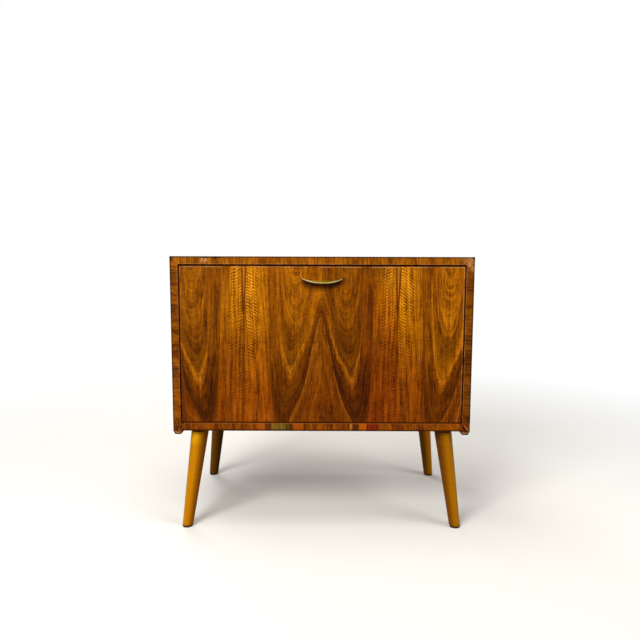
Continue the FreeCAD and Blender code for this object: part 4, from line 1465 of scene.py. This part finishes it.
@dataclass
class Screws:
    """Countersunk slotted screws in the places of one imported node's solids.

    The shank's radius and the head's height are shares of the head's radius.
    """

    node: str
    finish: Finish
    shank: float = 0.5
    head: float = 0.55
    slot_width: float = 0.9
    slot_depth: float = 0.7
    around: int = 10
    first_turn: float = 0.7
    next_turn: float = 2.4

    def arc(self, radius: float, height: float, first: float, last: float) -> list[Point]:
        """Points of an arc round the screw's axis, from one angle to another."""
        turns = (first + (last - first) * step / self.around for step in range(self.around + 1))
        return [(radius * math.cos(turn), radius * math.sin(turn), height) for turn in turns]

    def cut(self, shape: Shape, radius: float, length: float, place: Matrix) -> None:
        """Adds one screw, its head at 0 and its tip at minus its length along the axis.

        Args:
            shape: what the screw is added to.
            radius: radius of the head.
            length: length of the screw.
            place: where the screw goes.
        """
        half, shank, head = self.slot_width / 2, radius * self.shank, radius * self.head
        low = radius - (radius - shank) * self.slot_depth / head
        top_turn, low_turn = math.asin(half / radius), math.asin(half / low)
        skin = shape.mesh.faces.new

        def points(spots: Iterable[Point]) -> list[bmesh.types.BMVert]:
            """Vertices at spots of the screw's own space."""
            return [shape.mesh.verts.new(place @ (Vector(spot) * MM)) for spot in spots]

        sides = []
        for side in (0.0, math.pi):
            top = points(self.arc(radius, 0.0, side + top_turn, side + math.pi - top_turn))
            neck = points(self.arc(shank, -head, side + low_turn, side + math.pi - low_turn))
            floor = points((low * math.cos(turn), low * math.sin(turn), -self.slot_depth)
                           for turn in (side + low_turn, side + math.pi - low_turn))
            skin(top)
            skin([top[0], floor[0], neck[0], neck[1], top[1]])
            for step in range(1, self.around - 1):
                skin([top[step], neck[step], neck[step + 1], top[step + 1]])
            skin([top[-2], neck[-2], neck[-1], floor[1], top[-1]])
            skin((top[0], top[-1], floor[1], floor[0]))
            sides.append((floor, neck))
        (first, first_neck), (second, second_neck) = sides
        skin((*first, *second))
        skin((first[1], first_neck[-1], second_neck[0], second[0]))
        skin((second[1], second_neck[-1], first_neck[0], first[0]))
        tip = points([(0.0, 0.0, -length)])
        ring = first_neck + second_neck
        for this, after in zip(ring, ring[1:] + ring[:1]):
            skin((this, after, *tip))

    def seat(self, solid: Sequence[bmesh.types.BMVert]) -> tuple[float, float, Matrix]:
        """Finds how a packed screw lies.

        Args:
            solid: vertices of the screw.

        Returns:
            Radius of its head, its length, and the place of its head with the axis outward.
        """
        spots = [vert.co / MM for vert in solid]
        low, high = (Vector([pick(spot[axis] for spot in spots) for axis in range(3)]) for pick in (min, max))
        size, start = high - low, (low + high) / 2
        axis = max(range(3), key=lambda number: size[number])
        across = [number for number in range(3) if number != axis]
        middle = [start[number] for number in across]

        def reach(level: float) -> float:
            """Largest distance from the axis of the vertices at one end."""
            ends = [spot for spot in spots if abs(spot[axis] - level) < 0.05]
            return max(math.dist([spot[number] for number in across], middle) for spot in ends)

        radius, start[axis] = max((reach(level), level) for level in (low[axis], high[axis]))
        way = Vector((0.0, 0.0, 0.0))
        way[axis] = math.copysign(1.0, start[axis] - low[axis] - size[axis] / 2)
        turn = way.to_track_quat("Z", "Y").to_matrix().to_4x4()
        return radius, size[axis], Matrix.Translation(start * MM) @ turn

    def dress(self, shop: Workshop) -> None:
        """Replaces the node by screws with slots, each turned to its own angle.

        Args:
            shop: where the node lies and the screws are fitted.
        """
        source, shape = Shape().copy(shop.nodes[self.node]), Shape()
        solids = sorted(source.islands(), key=lambda solid: min(
            tuple(round(value, 5) for value in vert.co) for vert in solid))
        for index, solid in enumerate(solids):
            radius, length, place = self.seat(solid)
            turn = Matrix.Rotation(self.first_turn + index * self.next_turn, 4, "Z")
            self.cut(shape, radius, length, place @ turn)
        source.mesh.free()
        shop.fit(shape, f"{self.node}_slotted", self.finish, self.node, smooth=30.0)


# ------------------------------------------------------------------ the finishes in use


# Pale colour of rubbed arrises; on the edge bands' inner arrises it also stands for a painted highlight.
RUBBED = srgb(214, 158, 88)

# The flap face's dark arris colour is painted shade at its edges, by the gap round the flap.
FLAP_FACE = FlapVeneer("flap_veneer", srgb(96, 48, 14), gloss=0.42)
SIDE_SHEET = SheetVeneer("side_veneer_sheet", RUBBED, across=Axis.Y, along=Axis.Z, middle=9.0)
TOP_SHEET = SheetVeneer("top_veneer_sheet", RUBBED, across=Axis.X, along=Axis.Y, middle=0.0,
                        start=420.0, scale=1.1)
SIDE_BAND = CrossBand("side_crossband", RUBBED, run=Axis.Z, seed=2.0, dark=srgb(90, 42, 2),
                      light=srgb(166, 91, 7), right_shade_level=0.71)
LONG_BAND = CrossBand("top_crossband", RUBBED, run=Axis.X, seed=6.0, dark=srgb(116, 58, 2),
                      light=srgb(180, 106, 10))
LOW_BAND = CrossBand(
    "bottom_crossband", srgb(140, 74, 20), run=Axis.X, seed=9.0, dark=srgb(94, 42, 2),
    light=srgb(160, 82, 6), inner_highlight=0.15,
    patches=(
        Patch(-158, -140, srgb(168, 84, 10)), Patch(-140, -125, srgb(96, 46, 8)),
        Patch(-125, -90, srgb(120, 92, 30), 1.6), Patch(-90, -80, srgb(84, 66, 18), 1.2),
        Patch(-80, -72, srgb(72, 32, 6)), Patch(-66, -45, srgb(172, 84, 8)),
        Patch(69, 76, srgb(180, 112, 24)), Patch(76, 90, srgb(84, 38, 8)),
        Patch(93, 111, srgb(196, 92, 8)), Patch(111, 140, srgb(120, 28, 8), 1.2),
    ),
)
RAIL = RailWood("rail_wood_oiled", srgb(70, 32, 10), run=Axis.Y, dark=srgb(84, 38, 14),
                light=srgb(132, 66, 24), end=srgb(106, 46, 10), seed=3.0)
LEG = LegWood("honey_leg_wood", srgb(96, 54, 10), bump=0.06)
LINING = PlainWood("lining_wood", srgb(190, 130, 70), run=Axis.X, dark=srgb(112, 60, 20),
                   light=srgb(164, 98, 38), end=srgb(112, 62, 26), seed=5.0, gap_shade_y=-155.0)
LINING_UP = replace(LINING, name="lining_wood_upright", run=Axis.Z, seed=8.0)
DECK = replace(LINING, name="deck_wood", seed=6.0, gap_shade_y=PlainWood.gap_shade_y)
LIPPING = PlainWood("lipping_wood_long", RUBBED, run=Axis.X, dark=srgb(78, 30, 6),
                    light=srgb(122, 58, 16), end=srgb(74, 28, 6), seed=11.0)
LIPPING_UP = replace(LIPPING, name="lipping_wood_upright", run=Axis.Z, seed=13.0)
LIPPING_LOW = replace(LIPPING, name="lipping_wood_low", dark=srgb(98, 46, 6), light=srgb(140, 70, 12),
                      end=srgb(90, 42, 8), seed=15.0)
INNER = PlainWood("flap_inner_wood", RUBBED, run=Axis.X, dark=srgb(132, 74, 28),
                  light=srgb(180, 114, 50), end=srgb(112, 62, 26), seed=17.0)
PLY = PlainWood("back_plywood", srgb(206, 170, 118), run=Axis.X, dark=srgb(158, 112, 62),
                light=srgb(204, 164, 108), end=srgb(150, 108, 64), contrast=0.7, seed=19.0, gloss=0.62)
HIDDEN = PlainWood("beech_pegs", srgb(200, 160, 110), run=Axis.X, dark=srgb(170, 124, 76),
                   light=srgb(206, 166, 116), end=srgb(160, 118, 76), contrast=0.5, seed=23.0)
BRASS = Metal("aged_brass", srgb(250, 222, 150), gloss=0.3, shine=0.5, bump=0.12,
              base=srgb(196, 164, 92), dull=srgb(112, 92, 46))
OLD_BRASS = replace(BRASS, name="dark_brass", rubbed=srgb(120, 92, 44), gloss=0.5, shine=0.2,
                    base=srgb(96, 70, 26), dull=srgb(48, 32, 10), metal=0.7)
STEEL = replace(BRASS, name="zinc_steel", rubbed=srgb(220, 220, 216), gloss=0.36,
                base=srgb(186, 188, 190), dull=srgb(120, 120, 118))
BLACK_STEEL = replace(BRASS, name="black_steel", rubbed=srgb(70, 66, 60), gloss=0.45, shine=0.3,
                      base=srgb(30, 26, 22), dull=srgb(58, 50, 42), metal=0.3)
HANDLE_BRASS = HandleBrass("handle_brass", srgb(240, 212, 170), gloss=0.46, shine=0.1, bump=0.06,
                           base=srgb(140, 116, 20), dull=srgb(96, 78, 8), metal=0.1, run=Axis.X)
BLACK_PLASTIC = Plastic("dark_moulding", srgb(88, 80, 74), gloss=0.5)
SHELF_GLASS = Glass()


# ------------------------------------------------------------------ sub-assemblies


def both(*kinds: str) -> list[str]:
    """Names of the left and right node of each kind."""
    return [f"{side}_{kind}" for kind in kinds for side in ("left", "right")]


@dataclass
class Case:
    """Boards, veneers, edge bands and rails of the case."""

    face: float = -177.5
    band_arris: float = 0.45
    sheet_arris: float = 0.35
    rail_arris: float = 0.8
    divider_arris: float = 1.2
    back_arris: float = 0.5

    def dress(self, shop: Workshop) -> None:
        """Finishes the case's wood.

        Args:
            shop: the workshop.
        """
        front = edge_at(Axis.Y, self.face)
        sheet, board = long_edge(50.0), long_edge(200.0)
        shop.ease(SIDE_BAND, self.band_arris, front, *both("edge_band"))
        shop.ease(LONG_BAND, self.band_arris, front, "top_edge_band")
        shop.ease(LOW_BAND, self.band_arris, front, "bottom_edge_band")
        shop.ease(RAIL, self.rail_arris, long_edge(), *both("corner_rail"))
        shop.ease(SIDE_SHEET, self.sheet_arris, sheet, *both("side_veneer"))
        shop.ease(TOP_SHEET, self.sheet_arris, sheet, "top_veneer")
        shop.ease(LINING_UP, self.divider_arris, board, "divider")
        shop.ease(PLY, self.back_arris, board, "back_panel")
        shop.paint(LINING_UP, *both("side_core"))
        shop.paint(LINING, "top_core")
        shop.paint(DECK, "bottom_core")
        shop.paint(HIDDEN, "case_dowels", "mitre_tongues")
        Screws("back_screws", STEEL).dress(shop)


@dataclass
class Handle:
    """Crescent bow on two posts; its front has a ridge with a facet below that carries a painted highlight.

    The outline goes from the lower back edge over the facet to the ridge, and the crown on from
    there, both as shares of the strip's thickness and of the height on that side of the ridge.
    """

    width: float = 97.0
    reach: float = 16.98
    strip: float = 3.0
    thinnest: float = 0.1
    tip_z: float = 625.9
    tip_height: float = 1.5
    tip_trim: float = 0.15
    lower_sag: float = 9.6
    upper_sag: float = 5.0
    tilt: float = 0.014
    face: float = -176.5
    stations: int = 49
    outline: Line = ((1.0, 0.15), (0.65, 0.0), (0.28, 0.03), (0.08, 0.5), (0.0, 1.0))
    crown: Line = ((0.12, 0.6), (0.45, 1.0), (1.0, 0.8))
    facet: tuple[int, ...] = (1, 2, 3)
    post_x: float = 32.0
    post_z: float = 623.0
    post_radius: float = 2.7
    post_around: int = 24
    post_foot: Line = ((0.0, 0.4), (0.5, 0.3), (0.9, 0.0))
    post_bite: float = 0.6

    def depth(self, x: float, inset: float = 0.0) -> float:
        """How far the bow's front stands out at `x`, or an arc inset inside it."""
        radius = (self.width ** 2 / 4 + self.reach ** 2) / (2 * self.reach)
        return math.sqrt(max((radius - inset) ** 2 - x ** 2, 0.0)) - radius + self.reach

    def section(self, x: float) -> list[Point]:
        """Draws the bow's section.

        Args:
            x: where the section cuts the bow.

        Returns:
            Points round the section.
        """
        share = abs(2 * x / self.width)
        level = self.tip_z - x * self.tilt
        low = level - self.lower_sag * (1.0 - share ** 2.6)
        high = level + self.tip_height - self.upper_sag * (1.0 - share ** 4)
        ridge = low + (high - low) * (0.3 + 0.6 * share ** 2)
        front = self.face - self.depth(x)
        back = min(self.face - self.depth(x, self.strip), self.face) - 0.02
        thick = max(back - front, self.thinnest)
        points = [(x, front + thick * deep, low + (ridge - low) * up) for deep, up in self.outline]
        return points + [(x, front + thick * deep, ridge + (high - ridge) * up) for deep, up in self.crown]

    def post(self, shape: Shape, x: float) -> None:
        """Adds a post with a small foot on the flap.

        Args:
            shape: what the post is added to.
            x: where the post stands.
        """
        levels = [(self.face - out, self.post_radius + grow) for out, grow in self.post_foot]
        back = self.face - self.depth(self.post_x, self.strip)
        levels.append((back - self.post_bite, self.post_radius))
        shape.loft([[(x + radius * math.cos(turn), y, self.post_z + radius * math.sin(turn))
                     for turn in round_turns(self.post_around)] for y, radius in levels])

    def dress(self, shop: Workshop) -> None:
        """Builds the bow and its posts in the handle's place.

        Args:
            shop: the workshop.
        """
        end = self.width / 2 - self.tip_trim
        shares = (step / (self.stations - 1) for step in range(self.stations))
        rings = [self.section(end * math.sin(math.pi * (share - 0.5))) for share in shares]
        # The facet's faces are marked as arrises, where the brass puts its painted highlight.
        shape = Shape().loft(rings, worn_sides=self.facet)
        for way in (-1, 1):
            self.post(shape, way * self.post_x)
        shop.fit(shape, "handle_bow", HANDLE_BRASS, "handle", smooth=28.0)


@dataclass
class Flap:
    """The drop-front: veneered board, lippings, strike and pivot plates."""

    face: float = -176.5
    inside: float = -157.5
    shortest: float = 50.0
    arris: float = 0.6
    strike_arris: float = 0.3
    plate_arris: float = 0.2

    def dress(self, shop: Workshop) -> None:
        """Finishes the flap.

        Args:
            shop: the workshop.
        """
        shop.ease(FLAP_FACE, self.arris, edge_at(Axis.Y, self.face, self.shortest), "flap_face_veneer")
        shop.ease(INNER, self.arris, edge_at(Axis.Y, self.inside, self.shortest), "flap_inner_veneer")
        shop.ease(STEEL, self.strike_arris, long_edge(), "strike_plate")
        shop.ease(OLD_BRASS, self.plate_arris, long_edge(), *both("flap_plate"))
        shop.paint(LINING, "flap_core")
        shop.paint(LIPPING, "flap_top_lipping")
        shop.paint(LIPPING_LOW, "flap_bottom_lipping")
        shop.paint(LIPPING_UP, *both("flap_lipping"))
        Screws("flap_plate_screws", BRASS).dress(shop)
        Screws("strike_screws", STEEL).dress(shop)
        Screws("handle_screws", STEEL).dress(shop)


@dataclass
class Stays:
    """The two sliding-rod stays and the pivot plates on the case."""

    plate_arris: float = 0.2
    stay_arris: float = 0.3

    def dress(self, shop: Workshop) -> None:
        """Finishes the stays, plates and pins.

        Args:
            shop: the workshop.
        """
        shop.ease(OLD_BRASS, self.plate_arris, long_edge(), *both("case_plate"))
        shop.ease(BRASS, self.stay_arris, long_edge(), *both("stay_bracket", "stay_foot"))
        shop.paint(BRASS, *both("stay_guide"))
        shop.paint(STEEL, *both("stay_rod"))
        shop.paint(OLD_BRASS, "hinge_pins")
        for node in ("case_plate_screws", "stay_bracket_screws", "stay_foot_screws"):
            Screws(node, BRASS).dress(shop)


@dataclass
class Fittings:
    """Catch, glass shelf and shelf pins inside the case."""

    catch_arris: float = 0.8
    magnet_arris: float = 0.3
    glass_arris: float = 0.8

    def dress(self, shop: Workshop) -> None:
        """Finishes the fittings.

        Args:
            shop: the workshop.
        """
        shop.ease(BLACK_PLASTIC, self.catch_arris, long_edge(5.0), "catch_housing")
        shop.ease(STEEL, self.magnet_arris, long_edge(), "catch_magnet")
        shop.ease(SHELF_GLASS, self.glass_arris, long_edge(), "glass_shelf")
        shop.paint(BRASS, "shelf_pins")
        Screws("catch_screws", STEEL).dress(shop)


@dataclass
class Legs:
    """Four turned legs, splayed to the corners, with plates, bolts and glides.

    An eased end is a row of heights above the foot, or below the top, and of what the turning
    takes off the radius there.
    """

    top_x: float = 308.0
    foot_x: float = 339.0
    middle_y: float = 8.5
    top_y: float = 145.0
    foot_y: float = 176.0
    height: float = 250.0
    top: float = 247.0
    foot: float = 3.0
    top_radius: float = 22.0
    foot_radius: float = 13.2
    around: int = 48
    spans: int = 8
    foot_ease: Line = ((0.0, 2.0), (0.5, 1.0), (1.4, 0.3), (2.6, 0.0))
    top_ease: Line = ((1.2, 0.0), (0.4, 0.3), (0.0, 0.9))

    def ring(self, x_way: int, y_way: int, z: float, shrink: float) -> list[Point]:
        """A level ring of the leg.

        Args:
            x_way: 1 on the right, -1 on the left.
            y_way: 1 at the back, -1 at the front.
            z: height of the ring.
            shrink: how much smaller than the full radius.

        Returns:
            The ring's points.
        """
        share = 1.0 - z / self.height
        splay_x, splay_y = self.foot_x - self.top_x, self.foot_y - self.top_y
        middle = Vector((x_way * (self.top_x + splay_x * share),
                         self.middle_y + y_way * (self.top_y + splay_y * share), z))
        radius = self.top_radius + (self.foot_radius - self.top_radius) * share - shrink
        stretch = math.hypot(1.0, math.hypot(splay_x, splay_y) / self.height)
        toward = Matrix.Rotation(math.atan2(y_way, x_way), 3, "Z")
        return [middle + toward @ Vector((radius * stretch * math.cos(turn), radius * math.sin(turn), 0.0))
                for turn in round_turns(self.around)]

    def turned(self, x_way: int, y_way: int) -> Shape:
        """Turns one leg with eased ends.

        Args:
            x_way: 1 on the right, -1 on the left.
            y_way: 1 at the back, -1 at the front.

        Returns:
            The leg.
        """
        levels = [(self.foot + rise, shrink) for rise, shrink in self.foot_ease]
        low, high = levels[-1][0], self.top - self.top_ease[0][0]
        levels += [(low + (high - low) * step / self.spans, 0.0) for step in range(1, self.spans)]
        levels += [(self.top - drop, shrink) for drop, shrink in self.top_ease]
        return Shape().loft([self.ring(x_way, y_way, *level) for level in levels], worn_rings=(0, 1))

    def dress(self, shop: Workshop) -> None:
        """Turns the legs and finishes what holds them.

        Args:
            shop: the workshop.
        """
        for side, x_way in (("left", -1), ("right", 1)):
            for end, y_way in (("front", -1), ("rear", 1)):
                node = f"{side}_{end}_leg"
                shop.fit(self.turned(x_way, y_way), f"{node}_turned", LEG, node)
        shop.paint(BLACK_STEEL, "leg_plates")
        shop.paint(STEEL, "leg_bolts")
        shop.paint(BLACK_PLASTIC, "glides")
        Screws("leg_plate_screws", STEEL).dress(shop)


# ------------------------------------------------------------------ studio


@dataclass(frozen=True)
class Lamp:
    """A soft square lamp aimed at a point, in metres."""

    name: str
    spot: Point
    power: float
    aim: Point = (0.0, 0.0, 0.42)
    size: float = 1.6

    def hang(self) -> None:
        """Adds the lamp to the scene."""
        data = bpy.data.lights.new(self.name, "AREA")
        data.shape = "SQUARE"
        data.size = self.size
        data.energy = self.power
        lamp = bpy.data.objects.new(self.name, data)
        lamp.location = self.spot
        lamp.rotation_euler = (Vector(self.aim) - Vector(self.spot)).to_track_quat("-Z", "Y").to_euler()
        bpy.context.scene.collection.objects.link(lamp)


@dataclass
class Studio:
    """Plain pale floor, white surroundings, soft lamps and the camera.

    The camera's place is in metres. The floor fades to white between the two ends of its fade.
    """

    eye: Point = (-0.0048, -1.531, 0.665)
    pitch: float = 5.825
    roll: float = 0.19
    lens: float = 31.5
    sensor: float = 36.0
    nearest: float = 0.05
    farthest: float = 100.0
    ambient: float = 0.2
    floor_rings: tuple[float, ...] = (9000.0, 4000.0, 2000.0, 1000.0)
    floor_around: int = 64
    floor_fade: tuple[float, float] = (650.0, 2200.0)
    floor_colour: Colour = srgb(232, 229, 222)
    floor_bounce: Colour = srgb(150, 132, 104)
    lamps: tuple[Lamp, ...] = (
        Lamp("front_lamp", (-1.5, -2.5, 2.5), 98.0), Lamp("side_lamp", (2.5, -1.4, 2.3), 40.0),
        Lamp("top_lamp", (-0.3, -0.2, 3.0), 44.0), Lamp("rear_lamp", (-1.6, 2.6, 1.9), 40.0),
    )

    def seen(self, graph: Graph) -> Signal:
        """Tells rays that look from rays that light.

        Args:
            graph: the graph of the floor or of the surroundings.

        Returns:
            1 for rays to the eye and from metal and glass, 0 for rays that light the object.
        """
        path = graph.node("ShaderNodeLightPath")
        camera, glossy, through = (Signal(graph, path.outputs[f"Is {kind} Ray"])
                                   for kind in ("Camera", "Glossy", "Transmission"))
        return graph.most(graph.most(camera, glossy), through)

    def blend(self, graph: Graph, share: Signal, *shaders: bpy.types.Node) -> None:
        """Mixes two shaders into the output of their tree.

        Args:
            graph: the tree's graph.
            share: how much of the second shader is taken.
            shaders: the two shaders.
        """
        mixed = graph.node("ShaderNodeMixShader")
        graph.result(mixed, share, *(Signal(graph, shader.outputs[0]) for shader in shaders))
        end = next(node for node in graph.tree.nodes if node.name.endswith("Output"))
        graph.feed(end.inputs[0], Signal(graph, mixed.outputs[0]))

    def surroundings(self) -> None:
        """White to the eye and to metal and glass, plain grey light to the object."""
        world = bpy.data.worlds.new("surroundings")
        bpy.context.scene.world = world
        world.use_nodes = True
        graph = Graph(world.node_tree)
        lit = world.node_tree.nodes["Background"]
        white = graph.node("ShaderNodeBackground")
        graph.fill(lit, Color=WHITE, Strength=self.ambient)
        graph.fill(white, Color=WHITE)
        self.blend(graph, self.seen(graph), lit, white)

    def floor(self) -> None:
        """A pale floor that fades to white far from the object."""
        rings = [[(radius * math.cos(turn), radius * math.sin(turn), 0.0)
                  for turn in round_turns(self.floor_around)] for radius in self.floor_rings]
        floor = Shape().loft(rings, closed_start=False).build("studio_floor")
        graph = Skin("studio_floor_matt")
        seen = self.seen(graph)
        colour = graph.mix(self.floor_bounce, self.floor_colour, seen)
        graph.fill(graph.shader, Base_Color=colour, Roughness=0.8, Specular_IOR_Level=0.1)
        far = (graph.x * graph.x + graph.y * graph.y) ** 0.5
        self.blend(graph, far.step(*self.floor_fade) * seen, graph.shader, graph.node("ShaderNodeEmission"))
        floor.data.materials.append(graph.material)

    def camera(self) -> None:
        """Sets the camera up."""
        data = bpy.data.cameras.new("camera")
        data.lens = self.lens
        data.sensor_width = self.sensor
        data.clip_start, data.clip_end = self.nearest, self.farthest
        camera = bpy.data.objects.new("camera", data)
        turn = Matrix.Rotation(math.radians(90 - self.pitch), 4, "X")
        turn = turn @ Matrix.Rotation(math.radians(self.roll), 4, "Z")
        camera.matrix_world = Matrix.Translation(self.eye) @ turn
        bpy.context.scene.collection.objects.link(camera)
        bpy.context.scene.camera = camera

    def build(self) -> None:
        """Builds the studio."""
        bpy.context.scene.view_settings.view_transform = "Standard"
        self.surroundings()
        self.floor()
        self.camera()
        for lamp in self.lamps:
            lamp.hang()


def main() -> None:
    """Builds the cellarette's sub-assemblies and the studio."""
    logging.basicConfig(level=logging.INFO, format="%(message)s")
    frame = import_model()
    shop = Workshop(frame)
    for assembly in (Case(), Flap(), Handle(), Stays(), Fittings(), Legs()):
        assembly.dress(shop)
    Studio().build()


if __name__ == "__main__":
    main()
